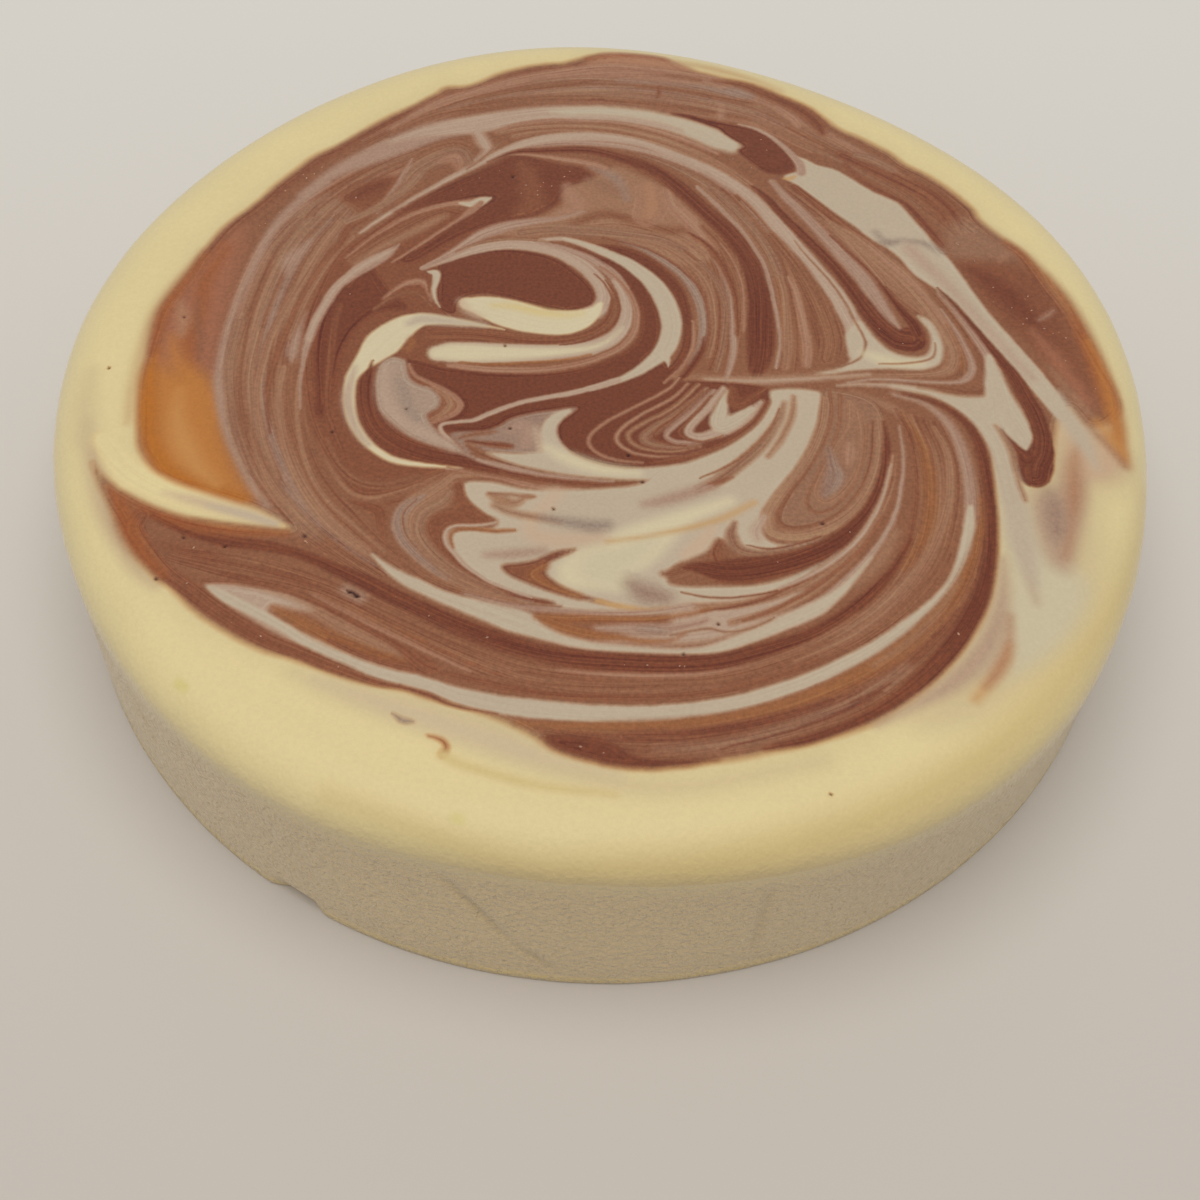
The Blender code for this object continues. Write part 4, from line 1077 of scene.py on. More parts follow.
    streak("butter", 3.2, (-10,-17.5,0.6), (-6,-20,1.2), (0,-22,1.1), (6,-22.5,0.6))

    # pale field below the heart
    patch("cream", 0.45, (-23.8,-26.3), (-19,-25.9), (-13,-27.1), (-6,-26.9), (2,-25.9), (7,-24.7),
        (10,-21.5), (16,-18.9), (22,-15.1), (27,-10.2), (29.7,-5), (30.3,-1.5), (38.7,-1.5), (38.5,-6),
        (37.3,-12), (34.8,-18), (28.8,-28), (27.5,-32), (28.3,-35.8), (32,-37), (38,-35.5), (30,-38),
        (24,-39), (20,-36), (18,-39), (13,-42), (11.5,-45), (13,-46.5), (20,-46.3), (27,-45.5), (34,-42.7),
        (40,-38.7), (45,-33), (43,-37.5), (38,-42.5), (32,-46.5), (25,-49.5), (18,-50.8), (10,-52.3),
        (0,-52.8), (-8,-51.9), (-14,-50.3), (-20,-46.3), (-24,-42), (-25.7,-39), (-25.3,-37), (-22,-36.5),
        (-18.5,-36), (-17.5,-34.3), (-20,-32.8), (-23,-29.8))
    streak("butter", 3.6, (14,-33,1), (6,-40,3.5), (0,-42,4), (-4,-45,3), (3,-46,2))
    streak("milk", 4.4, (9,-37.5,1), (4,-41,3), (0,-43.5,3.2), (4,-46,1.5))
    streak("butter", 3, (22,-28,1), (14,-32,1.6), (6,-35.5,1.6), (2,-38,1.5))
    streak("haze", 4, (-8,-28,1), (-12,-35.5,1.2), (-8,-38,1.6), (0,-37,1.2))
    streak("tan", 0.6, (-19.3,-28.8,0.4), (-17.3,-29.8,1.1), (-15,-30.3,0.9), (-13,-29,0.35),
        (-11.5,-28.6,0.1))
    streak("cocoa", 0.5, (-19.5,-28.5,0.2), (-16,-28.4,0.3), (-12,-28.7,0.25))
    streak("mocha", 0.7, (-18.5,-31,0.4), (-15,-32.5,0.6), (-7,-34,0.3))
    streak("grey", 3, (-10,-33.2,0.5), (-2,-34.6,1.2), (1,-34.3,0.9))

    # brown tongue with its pale edge
    patch("brown", 0.35, (-26.8,-26.8), (-24.3,-26.3), (-23.2,-29.7), (-20.3,-32.6), (-18.3,-34.2),
        (-20.7,-35.2), (-24.6,-35.6), (-26.1,-36.5), (-26.3,-38.3), (-25.2,-41), (-22.1,-44.5),
        (-17.8,-47.4), (-12.4,-49.6), (-7,-50.9), (-8.8,-51.5), (-14.2,-50.3), (-19.6,-47.9), (-23.9,-45),
        (-27.5,-41.2), (-29.6,-37.6), (-29.7,-34.7), (-28.2,-32.9), (-25,-31.9), (-25.7,-29.7))
    streak("gold", 0.35, (-14.5,-36.2,0.3), (-18,-36.6,0.45), (-22,-36.3,0.4), (-24.6,-36.8,0.35),
        (-25.4,-38.3,0.35), (-24.8,-40.5,0.3))
    streak("pale", 0.25, (-17.8,-34.7,0.25), (-20.7,-35.5,0.3), (-24.6,-35.8,0.3), (-26.1,-37,0.35),
        (-26,-39.4,0.35), (-24.3,-41.9,0.35), (-21.4,-45,0.3), (-17,-47.8,0.25), (-11,-50,0.2))

    # lavender band that bends round it
    streak("tan", 0.5, (-22,-24.6,0.3), (-25.5,-24.9,0.9), (-27.3,-26.9,1.4), (-29.8,-29.3,1.9),
        (-32.3,-31.8,2), (-33.3,-35,2.1), (-32.7,-38.3,1.9), (-30.5,-41.7,1.6), (-27.3,-44.8,1.5),
        (-23.3,-47.4,1.2), (-18.5,-49.6,0.8), (-13,-51.2,0.4))
    streak("lavender", 0.5, (-30.5,-29.5,0.3), (-33.3,-32,1), (-34.3,-35,1.1), (-33.7,-38,1.1),
        (-31.7,-41,0.9), (-28.5,-44.2,0.7), (-25,-46.7,0.5))
    streak("mocha", 0.6, (-26,-28.5,0.6), (-27.5,-31,1), (-30.3,-33.3,1.2), (-30.8,-37,1), (-29,-40.5,0.9),
        (-25.5,-44,0.8), (-21,-47,0.6), (-16,-49.5,0.4))
    streak("mocha", 0.25, (-31.8,-30.4,0.15), (-33.5,-32.9,0.25), (-33.6,-35.8,0.3), (-31.9,-39.6,0.3),
        (-25.4,-46.3,0.25), (-21,-48.6,0.2))
    streak("cocoa", 0.4, (-33,-43.5,0.4), (-29,-46.8,0.6), (-24,-49.2,0.7), (-18,-50.8,0.5), (-12,-51.6,0.4),
        (-6,-51.8,0.2))

    # brown patch and lines in the pale field
    patch("brown", 0.45, (-4,-39.6), (-5.5,-41), (-8.3,-42.8), (-8.8,-44.5), (-8.1,-45.9), (-5.9,-47.7),
        (-3.4,-48.8), (4,-51.2), (-5.2,-49.6), (-13.1,-46.7), (-15.8,-44.9), (-16,-43.6), (-13.1,-43.1),
        (-10.6,-42.2), (-7.7,-40.5))
    streak("gold", 0.8, (-9,-43.5,0.5), (-11,-45.5,0.8), (-7.5,-47.8,0.6), (-3,-49.5,0.4))
    streak("blush", 2.4, (-19,-41.7,0.5), (-14.5,-41.3,0.9), (-9.5,-40.4,0.6))
    streak("honey", 0.5, (0,-50.3,0.4), (4,-51.2,0.5), (8,-51.7,0.4), (12,-51,0.2))
    streak("honey", 1.8, (26.3,-28,0.5), (19.6,-32.4,0.6), (8.8,-36.1,0.3), (1.3,-37.8,0.3))
    streak("lavender", 4.4, (5.5,-46.5,1), (8,-48.3,2), (11,-49,1.5))
    streak("haze", 2.4, (19,-34.5,0.8), (17,-37.5,1.3), (14.5,-40,0.9))

    # mocha streaks across the pale arms
    streak("mocha", 0.5, (32.3,-4.5,0.4), (31.2,-8.5,0.7), (28.8,-13.3,1), (26,-17.2,1.15), (20.3,-23.2,1.1),
        (16.7,-25.6,0.7))
    streak("blush", 2.8, (19,-24.5,1), (14.5,-26.8,1.2), (10,-28.6,1), (7.5,-29.3,0.6))
    streak("brown", 0.5, (22.5,-22.5,0.2), (20.3,-23.7,0.5), (18.5,-24.2,0.2))
    streak("cocoa", 0.25, (31.3,-6,0.15), (29.5,-11,0.25), (25.6,-16.5,0.25), (21,-20.6,0.25), (17,-23,0.15))
    streak("tan", 0.5, (34,-3,0.4), (33.6,-7,0.6), (31.8,-12.5,0.6), (29,-17.5,0.4))

    # nested bends under the meeting lines
    streak("pink", 0.3, (13.3,0.5,0.25), (10.6,-3,0.3), (2.3,-9.2,0.3), (-0.9,-12.1,0.3), (-2.6,-14.4,0.3),
        (-2.5,-16.6,0.3), (-0.7,-18.5,0.3), (2.5,-19.7,0.25), (7,-20,0.15))
    streak("pink", 0.3, (15,-0.7,0.25), (11.7,-4.8,0.3), (7,-8.4,0.3), (4,-11.2,0.35), (2.2,-14,0.35),
        (2.8,-16.2,0.35), (5.5,-17.9,0.3), (9.5,-18.5,0.3), (14,-18,0.25), (18,-16.3,0.15))
    streak("tan", 0.35, (16.7,-0.9,0.35), (12.4,-6.6,0.4), (7.2,-10.6,0.4), (4.3,-13.4,0.4), (5,-15.6,0.4),
        (8,-17,0.35), (12.5,-17.1,0.3), (17,-15.8,0.2))
    streak("mocha", 0.4, (18.2,-2,0.5), (13.5,-8,0.9), (8.7,-12.3,1.1), (7.2,-14.5,1), (9.3,-15.7,0.8),
        (13,-16,0.5), (17,-15,0.3))
    streak("brown", 0.25, (17.6,-2.5,0.15), (12.9,-8.6,0.25), (9.5,-12,0.25), (8.7,-14,0.2),
        (10.7,-15.2,0.2), (14.5,-15.8,0.2))
    streak("blush", 0.3, (19.6,-2.2,0.4), (15.5,-7.6,0.5), (12,-11.6,0.55), (11,-13.6,0.5),
        (12.5,-14.8,0.45), (15.5,-14.9,0.4), (19,-13.7,0.25))
    streak("pale", 0.35, (21.3,-1.5,0.5), (18.5,-6.5,0.7), (15.6,-10.6,0.8), (15,-12.8,0.8), (17,-13.5,0.9),
        (20,-12.4,1.2), (23.3,-10.2,1.5), (26,-7.6,1.2), (28.2,-4.5,0.5))
    streak("cream", 0.4, (22,-2.2,0.4), (20.5,-8.3,1.5), (20.6,-10.7,1.5), (23.3,-9.2,1.4), (26.3,-6.3,0.7))
    streak("brown", 0.3, (19,-3.5,0.15), (15,-9.7,0.25), (13.2,-12.5,0.25), (14.5,-14.1,0.25),
        (17.5,-14.6,0.2), (21,-13,0.15))
    streak("brown", 0.4, (23,-1.3,0.6), (22.9,-3.5,1), (23.6,-5.4,1.2), (25.3,-4.6,0.9), (27,-3,0.6),
        (28.9,-1.3,0.45))
    streak("brown", 0.6, (29.2,-4.5,0.4), (27,-9,0.6), (23.3,-13,0.7), (19.6,-15.8,0.7), (14.2,-18.3,0.6),
        (8.8,-19.8,0.4))

    # mocha bends at the right
    patch("mocha", 0.6, (39.5,-1), (45,-1.5), (49,-4), (50.6,-10), (50.2,-17), (47.8,-23.5), (44,-28.5),
        (40,-31.3), (36,-33.3), (32,-33.8), (30,-32.2), (30.3,-29), (32.5,-24), (35.8,-18), (38.3,-11),
        (39.6,-5))
    streak("tan", 0.5, (39.5,-3,0.5), (38.8,-9,0.7), (36.5,-16,0.8), (33.3,-22,0.8), (30.3,-27,1),
        (28.7,-31,1.3), (29.3,-34.3,1.3), (33,-35,1.3), (37.5,-33.7,1.2), (42,-30.7,1.1), (45.5,-26.3,1),
        (48,-20.5,0.9), (49.3,-14,0.8), (49.3,-7,0.5))
    streak("cocoa", 0.3, (40.7,-1.3,0.3), (40.7,-7,0.35), (39.2,-13,0.3), (36,-20,0.3), (33,-25,0.35),
        (30.8,-29.3,0.4), (30.4,-31.8,0.45), (32,-33.2,0.4), (35,-32.9,0.35), (38.5,-31.4,0.3),
        (42,-28.3,0.3), (45.4,-22.8,0.3), (47.3,-16,0.3), (48,-8,0.25))
    streak("cocoa", 0.3, (42.5,-2,0.4), (42,-9,0.3), (40.3,-15,0.25), (37.3,-22,0.25), (35.5,-27,0.3),
        (37,-29.7,0.3), (40.5,-28,0.25), (43.8,-23,0.25), (46,-16.5,0.25), (46.8,-9,0.25))
    streak("tan", 0.4, (44,-4,0.8), (43.5,-10,0.5), (41.5,-14,0.4), (38.3,-21,0.4), (37,-25.5,0.5),
        (38.7,-27.3,0.5), (41.5,-25.2,0.5), (44.5,-20,0.5), (45.8,-12,0.6), (45.5,-6,0.6))
    streak("lavender", 0.6, (39.8,-15,0.4), (40.3,-18.5,1), (40.6,-21.5,1.7), (39.6,-24,1.3),
        (38.7,-25.5,0.7))
    streak("pink", 0.6, (43.6,-13.5,0.6), (43.2,-16.5,1.1), (43,-18.7,0.4))
    streak("pale", 0.7, (28,-31,0.6), (26.6,-34,1), (26.8,-36,0.6))

    # dark crescent inside the ring
    streak("mocha", 0.5, (23,-32.5,0.4), (22.3,-35.5,1.1), (24,-38.6,1.1), (29,-39,0.7), (34,-37.7,0.5),
        (38.5,-35.5,0.4), (43,-31.7,0.3))
    streak("brown", 0.25, (25,-37.3,0.1), (28.5,-38,0.2), (33,-36.9,0.2), (37.5,-34.9,0.15))
    streak("brown", 0.7, (20.7,-36.8,0.3), (19.8,-39.2,0.9), (20.3,-41,1.4))
    streak("cocoa", 0.6, (16,-42,0.8), (13.3,-43.7,1.2), (10.8,-44.2,0.5))
    streak("dark", 0.4, (50,-8,0.2), (50.2,-13,0.6), (49.8,-18.5,1), (48.5,-24,1.35), (46.3,-29,1.6),
        (43.3,-33,1.8), (39.5,-36.5,1.9), (35,-39.2,2), (30,-41.3,2.3), (25,-42.7,2.7), (20.8,-43.1,2.3),
        (17.3,-42.6,1.3), (14.3,-42.6,0.3))
    patch("pale", 0.8, (12,-50.5), (20,-49.5), (28,-47.5), (34,-46), (30,-51.5), (24,-55), (18,-57.5),
        (10,-58.5), (0,-58.5), (6,-56.5), (12,-55))

    # fine arcs outside it
    streak("tan", 0.4, (16,-50.5,0.5), (23,-49.9,0.7), (29,-47.8,0.9), (34,-45,1), (39,-41,1.1),
        (43.5,-36.3,1.1), (47.3,-30,1), (50,-23,0.8), (51.2,-16,0.5))
    streak("brown", 0.25, (14,-47.9,0.15), (20,-48.7,0.2), (26,-47.8,0.2), (32,-45.7,0.2), (37,-42.5,0.2),
        (42,-37.8,0.2), (46,-32,0.2))
    streak("brown", 0.3, (17,-51.5,0.25), (23.5,-50,0.3), (29,-47.7,0.3), (38.5,-40.8,0.25), (43.5,-36,0.25),
        (47.8,-29,0.25), (50.7,-21,0.25))
    streak("pale", 0.3, (30,-46.3,0.2), (36,-42.7,0.4), (41,-38.5,0.4), (45.3,-33,0.4), (48.5,-26.3,0.35),
        (50.7,-18,0.2))
    streak("tan", 0.4, (22,-53.5,0.6), (28,-51.3,0.7), (33,-48.5,0.8), (38,-44.3,0.7), (43,-38.8,0.6))
    streak("brown", 0.3, (24,-53,0.2), (29,-50.7,0.3), (33.5,-47.8,0.3), (38.5,-43.5,0.3), (44,-37.5,0.25),
        (48.5,-30,0.2))

    # bends in the bottom cream
    streak("blush", 0.5, (-22,-49.9,0.3), (-14,-51.9,0.5), (-6,-52.7,0.6), (2,-52.7,0.6), (9,-52,0.5),
        (16,-50.4,0.3))
    streak("gold", 0.6, (-9.8,-54,0.5), (-5,-54.2,0.9), (0,-53.9,0.65), (5,-53.8,0.55), (10,-53.3,0.4),
        (15,-52.2,0.35), (18.5,-51,0.3))
    streak("gold", 0.6, (-8.5,-54.8,0.7), (-5,-56.2,1), (-1,-57.1,0.9), (4,-57.5,0.6), (8,-57.9,0.5),
        (12,-57.5,0.3), (14.5,-56,0.15))
    streak("blush", 0.5, (0,-55.7,0.4), (5,-55.6,1), (10,-55.5,1.1), (14,-54.8,0.7), (18,-53.3,0.5))
    streak("lavender", 0.8, (7,-55.7,0.6), (9.5,-55.7,0.9), (11.5,-55.9,0.4))
    streak("mocha", 0.3, (12,-56.6,0.1), (18,-55,0.25), (21,-55.5,0.2), (25,-54.7,0.2), (29,-52.4,0.2))

    # olive spots in the custard
    streak("olive", 2, (-66.1,-69.2,0.35), (-64.8,-70.1,0.35))
    streak("olive", 2, (-20.3,-91.3,0.25), (-19.1,-91.5,0.25))

    # open bubbles, each with a dot of painted shade
    for x, y, depth in PINHOLES:
        painter.dot("hole_shade", PINHOLE_SOFTNESS, x, y, PINHOLE_RADIUS + PINHOLE_SPREAD * depth)


# How far below the shoulder the painted triangles start
PAINT_MARGIN = 0.2


def write_corner_layer(mesh, name, kind, values):
    """Stores one value a corner; the base's corners, which come last, keep zero."""
    layer = mesh.attributes.new(name, kind, "CORNER")
    size = values.shape[-1]
    flat = np.zeros((len(mesh.loops), size), dtype=np.float32)
    flat[:values.shape[0] * 3] = values.reshape(-1, size)
    layer.data.foreach_set("color" if kind == "FLOAT_COLOR" else "vector", flat.ravel())


def paint_body(mesh, points, triangles):
    """Paints the marbling above the upright side, custard with painted shade in its creases below it, and
    returns the dark faces.
    """
    middle_height = points[triangles][:, :, 2].mean(axis=1)
    order = np.flatnonzero(middle_height > SIDE_HEIGHT - PAINT_MARGIN)
    painter = Painter(points[:triangles[order].max() + 1], triangles[order], TONES["custard"])
    paint_marbling(painter)
    every = np.ones((len(triangles), 3, 1))
    # painted shade: the custard below the shoulder is darkened where the creases cut in
    shade = 1 - CREASE_SHADE * crease_depth(np.arctan2(points[:, 1], points[:, 0]), points[:, 2])
    tone = pigment(TONES["custard"]) * shade[triangles][..., None]
    line = every * np.zeros(3)
    tone[order] = painter.ground_tone
    line[order] = painter.ground_line
    write_corner_layer(mesh, "ground_tone", "FLOAT_COLOR", np.concatenate((tone, every), axis=2))
    write_corner_layer(mesh, "ground_line", "FLOAT_VECTOR", line)
    for slot in range(SLOTS):
        edge = every * np.array(FREE_SLOT)
        tone = every * np.zeros(4)
        edge[order] = painter.edge[slot]
        tone[order, :, :3] = painter.tone[slot]
        tone[order, :, 3] = painter.seed[slot][:, None]
        write_corner_layer(mesh, f"shape_{slot + 1}_edge", "FLOAT_VECTOR", edge)
        write_corner_layer(mesh, f"shape_{slot + 1}_tone", "FLOAT_COLOR", tone)
    dark = painter.ground_tone[..., 0].max(axis=1) < linear(REDDEST_WITH_SPECKS)
    outer = np.linalg.norm(points[painter.triangles[:, 0], :2], axis=1) > SPECKS_START
    return painter.triangles[dark & outer & (painter.used == 0)]


class Tree:
    """Short ways to add nodes to one node tree."""

    def __init__(self, tree):
        self.tree = tree

    def node(self, kind, inputs=None, **settings):
        made = self.tree.nodes.new(kind)
        for name, value in settings.items():
            setattr(made, name, value)
        for name, value in (inputs or {}).items():
            self.feed(made.inputs[name], value)
        return made

    def feed(self, socket, value):
        if isinstance(value, bpy.types.NodeSocket):
            self.tree.links.new(value, socket)
        else:
            socket.default_value = value

    def math(self, operation, *values, clamp=False):
        made = self.node("ShaderNodeMath", dict(enumerate(values)), operation=operation, use_clamp=clamp)
        return made.outputs[0]

    def mix(self, share, first, second, blend="MIX"):
        made = self.node("ShaderNodeMix", data_type="RGBA", blend_type=blend, clamp_factor=True)
        self.feed(made.inputs[0], share)
        self.feed(made.inputs[6], first)
        self.feed(made.inputs[7], second)
        return made.outputs[2]

    def ramp(self, value, low, high, start=0.0, end=1.0, smooth=True):
        made = self.node(
            "ShaderNodeMapRange",
            {"Value": value, "From Min": low, "From Max": high, "To Min": start, "To Max": end},
            interpolation_type="SMOOTHSTEP" if smooth else "LINEAR",
        )
        return made.outputs[0]

    def noise(self, place, scale, detail=2.0, roughness=0.5, dimensions="3D"):
        made = self.node(
            "ShaderNodeTexNoise",
            {"Vector": place, "Scale": scale, "Detail": detail, "Roughness": roughness},
            noise_dimensions=dimensions,
        )
        return made.outputs["Fac"]

    def parts(self, vector):
        return self.node("ShaderNodeSeparateXYZ", {"Vector": vector}).outputs

    def vector(self, x, y, z):
        return self.node("ShaderNodeCombineXYZ", {"X": x, "Y": y, "Z": z}).outputs[0]

    def attribute(self, name):
        return self.node("ShaderNodeAttribute", attribute_name=name, attribute_type="GEOMETRY").outputs


def new_group(name, inputs, outputs):
    """A shader node group with named inputs and outputs, and short ways to all three."""
    group = bpy.data.node_groups.new(name, "ShaderNodeTree")
    for label, kind, value in inputs:
        socket = group.interface.new_socket(label, in_out="INPUT", socket_type=kind)
        if value is not None:
            socket.default_value = value
    for label, kind in outputs:
        group.interface.new_socket(label, in_out="OUTPUT", socket_type=kind)
    tree = Tree(group)
    return group, tree, tree.node("NodeGroupInput").outputs, tree.node("NodeGroupOutput").inputs


def place_group(tree, group, inputs):
    """Places a group in a tree, with its own values."""
    made = tree.node("ShaderNodeGroup", node_tree=group)
    for label, value in inputs.items():
        tree.feed(made.inputs[label], value)
    return made.outputs


# Fine lines in the marbling: how many, how they change along their run, and how they tint red, green, blue
LINES_A_MILLIMETRE = 2.2
LINE_DRIFT = 35.0
LINE_SHIFT = 3.7
LINE_STRENGTH = 0.60
LINE_TINT = (0.55, 1.0, 1.1)

# The lines are deep in a tone whose red is at the first value and hardly show in one at the second
LINE_TONE_RANGE = (0.15, 0.50)
FAINTEST_LINE = 0.06


def fine_lines_group():
    """Tints a tone with fine lines that run along a streak, told apart by their offset from its middle."""
    group, tree, given, result = new_group(
        "fine_lines",
        [("Place", "NodeSocketVector", None), ("Tone", "NodeSocketColor", None),
         ("Offset", "NodeSocketFloat", 0.0), ("Seed", "NodeSocketFloat", 0.0),
         ("Strength", "NodeSocketFloat", 0.3)],
        [("Color", "NodeSocketColor")],
    )
    place = tree.parts(given["Place"])
    across = tree.math("MULTIPLY", given["Offset"], LINES_A_MILLIMETRE)
    drift = tree.math("MULTIPLY_ADD", place[0], LINE_DRIFT, tree.math("MULTIPLY", given["Seed"], LINE_SHIFT))
    spot = tree.vector(across, drift, tree.math("MULTIPLY", place[1], LINE_DRIFT))
    swing = tree.ramp(tree.noise(spot, 1.0, detail=3.0, roughness=0.6), 0.3, 0.7, -1.0, 1.0, smooth=False)
    depth = tree.ramp(tree.parts(given["Tone"])[0], *LINE_TONE_RANGE, 1.0, FAINTEST_LINE, smooth=False)
    depth = tree.math("MULTIPLY", given["Strength"], depth)
    swing = tree.math("MULTIPLY", swing, depth)
    shade = tree.vector(*[tree.math("MULTIPLY_ADD", swing, share, 1.0) for share in LINE_TINT])
    toned = tree.node("ShaderNodeVectorMath", {0: given["Tone"], 1: shade}, operation="MULTIPLY")
    tree.feed(result["Color"], toned.outputs[0])
    return group


# Where two tones meet, a little of the cocoa has run out and warms the edge
FRINGE_TINT = (1.04, 0.84, 0.66, 1.0)
FRINGE_STRENGTH = 4.5


def cut_shape_group(lines):
    """Lays one kept shape over a colour, with its edge drawn from offset, half width and fade."""
    group, tree, given, result = new_group(
        "cut_shape",
        [("Under", "NodeSocketColor", None), ("Tone", "NodeSocketColor", None),
         ("Seed", "NodeSocketFloat", 0.0), ("Edge", "NodeSocketVector", None),
         ("Place", "NodeSocketVector", None), ("Wander", "NodeSocketFloat", 0.0),
         ("Strength", "NodeSocketFloat", 0.3)],
        [("Color", "NodeSocketColor")],
    )
    edge = tree.parts(given["Edge"])
    offset = tree.math("ADD", edge[0], given["Wander"])
    cover = tree.math("SUBTRACT", edge[1], tree.math("ABSOLUTE", offset))
    mask = tree.ramp(cover, tree.math("MULTIPLY", edge[2], -1.0), edge[2])
    toned = place_group(tree, lines, {
        "Place": given["Place"], "Tone": given["Tone"], "Offset": edge[0], "Seed": given["Seed"],
        "Strength": given["Strength"],
    })["Color"]
    laid = tree.mix(mask, given["Under"], toned)
    apart = tree.node("ShaderNodeVectorMath", {0: given["Under"], 1: given["Tone"]}, operation="DISTANCE")
    contrast = tree.math("MULTIPLY", apart.outputs["Value"], FRINGE_STRENGTH)
    fringe = tree.math("MULTIPLY", mask, tree.math("SUBTRACT", 1.0, mask))
    fringe = tree.math("MULTIPLY", fringe, contrast, clamp=True)
    tree.feed(result["Color"], tree.mix(fringe, laid, tree.mix(1.0, laid, FRINGE_TINT, "MULTIPLY")))
    return group


# Clouds, grains and pores to a metre, and how much the grains count in the relief
CLOUD_SCALE = 60.0
GRAIN_SCALE = 1500.0
PORE_SCALE = 900.0
GRAIN_RELIEF = 0.35


def crumb_grain_group():
    """The fine uneven tone and surface of baked custard."""
    group, tree, given, result = new_group(
        "crumb_grain",
        [("Place", "NodeSocketVector", None), ("Color", "NodeSocketColor", None),
         ("Mottle", "NodeSocketFloat", 0.07), ("Speckle", "NodeSocketFloat", 0.12)],
        [("Color", "NodeSocketColor"), ("Height", "NodeSocketFloat"), ("Cloud", "NodeSocketFloat")],
    )
    cloud = tree.noise(given["Place"], CLOUD_SCALE, detail=3.0)
    grain = tree.noise(given["Place"], GRAIN_SCALE, roughness=0.65)
    pores = tree.noise(given["Place"], PORE_SCALE)
    shade = tree.math("MULTIPLY_ADD", tree.math("SUBTRACT", cloud, 0.5), given["Mottle"], 1.0)
    shade = tree.math("MULTIPLY_ADD", tree.math("SUBTRACT", grain, 0.5), given["Speckle"], shade)
    toned = tree.node("ShaderNodeVectorMath", {0: given["Color"]}, operation="SCALE")
    tree.feed(toned.inputs["Scale"], shade)
    tree.feed(result["Color"], toned.outputs[0])
    tree.feed(result["Height"], tree.math("MULTIPLY_ADD", grain, GRAIN_RELIEF, pores))
    tree.feed(result["Cloud"], cloud)
    return group


# Colour of the side against the top's custard, and where it starts and ends, in metres above the base
SIDE_TINT = (0.95, 0.885, 0.98, 1.0)
SIDE_TINT_RANGE = (0.039, 0.028)
SIDE_SPECKLE = 0.42
FOOT_STRIP_HEIGHT = 0.0030
FOOT_TINT = (1.10, 1.08, 0.86, 1.0)

# The grain is strong in a tone whose red is at the first value and weak in one at the second
GRAIN_TONE_RANGE = (0.15, 0.50)
GRAIN_STRENGTHS = (1.05, 0.14)
ROUGHNESS_RANGE = (0.46, 0.60)
SPECULAR_LEVEL = 0.22

# Depth of the fine relief in metres, and the share of it that the top has
RELIEF_DEPTH = 0.00080
TOP_RELIEF = 0.14
WANDER_SCALE = 330.0

# The dry skin of the side looks paler where it turns away
SHEEN = 0.42
SHEEN_ROUGHNESS = 0.45
SHEEN_TINT = (1.0, 0.98, 0.95, 1.0)


def cake_material():
    """Baked custard with its marbling, a paler and grainier side, and a yellow strip at the foot."""
    material = bpy.data.materials.new("marbled_custard")
    material.use_nodes = True
    tree = Tree(material.node_tree)
    shader = material.node_tree.nodes["Principled BSDF"]
    place = tree.node("ShaderNodeTexCoord").outputs["Object"]
    lines = fine_lines_group()
    cut_shape = cut_shape_group(lines)
    wander = tree.math("SUBTRACT", tree.noise(place, WANDER_SCALE, detail=3.0), 0.5)
    wander = tree.math("MULTIPLY", wander, EDGE_WANDER * 3)

    ground_tone = tree.attribute("ground_tone")
    ground_line = tree.parts(tree.attribute("ground_line")["Vector"])
    colour = place_group(tree, lines, {
        "Place": place, "Tone": ground_tone["Color"], "Offset": ground_line[0], "Seed": ground_line[1],
        "Strength": tree.math("MULTIPLY", ground_line[2], LINE_STRENGTH),
    })["Color"]
    for slot in range(SLOTS):
        tone = tree.attribute(f"shape_{slot + 1}_tone")
        edge = tree.attribute(f"shape_{slot + 1}_edge")["Vector"]
        colour = place_group(tree, cut_shape, {
            "Under": colour, "Tone": tone["Color"], "Seed": tone["Alpha"], "Edge": edge, "Place": place,
            "Wander": wander, "Strength": LINE_STRENGTH,
        })["Color"]

    height = tree.parts(place)[2]
    down = tree.ramp(height, SIDE_TINT_RANGE[1], SIDE_TINT_RANGE[0], 1.0, 0.0)
    colour = tree.mix(down, colour, tree.mix(1.0, colour, SIDE_TINT, "MULTIPLY"))
    foot = tree.ramp(height, FOOT_STRIP_HEIGHT * 0.5, FOOT_STRIP_HEIGHT, 1.0, 0.0)
    colour = tree.mix(foot, colour, tree.mix(1.0, colour, FOOT_TINT, "MULTIPLY"))

    darkness = tree.ramp(tree.parts(colour)[0], *GRAIN_TONE_RANGE, *GRAIN_STRENGTHS, smooth=False)
    speckle = tree.math("MAXIMUM", darkness, tree.math("MULTIPLY", down, SIDE_SPECKLE))
    grain = place_group(tree, crumb_grain_group(), {"Place": place, "Color": colour, "Speckle": speckle})
    tree.feed(shader.inputs["Base Color"], grain["Color"])
    roughness = tree.ramp(grain["Cloud"], 0.3, 0.7, *ROUGHNESS_RANGE, smooth=False)
    tree.feed(shader.inputs["Roughness"], roughness)
    strength = tree.ramp(height, SIDE_TINT_RANGE[1], SIDE_TINT_RANGE[0], 1.0, TOP_RELIEF)
    bump = tree.node("ShaderNodeBump", {
        "Height": grain["Height"], "Strength": strength, "Distance": RELIEF_DEPTH,
    })
    tree.feed(shader.inputs["Normal"], bump.outputs[0])
    shader.inputs["Specular IOR Level"].default_value = SPECULAR_LEVEL
    shader.inputs["Sheen Weight"].default_value = SHEEN
    shader.inputs["Sheen Roughness"].default_value = SHEEN_ROUGHNESS
    shader.inputs["Sheen Tint"].default_value = SHEEN_TINT
    return material


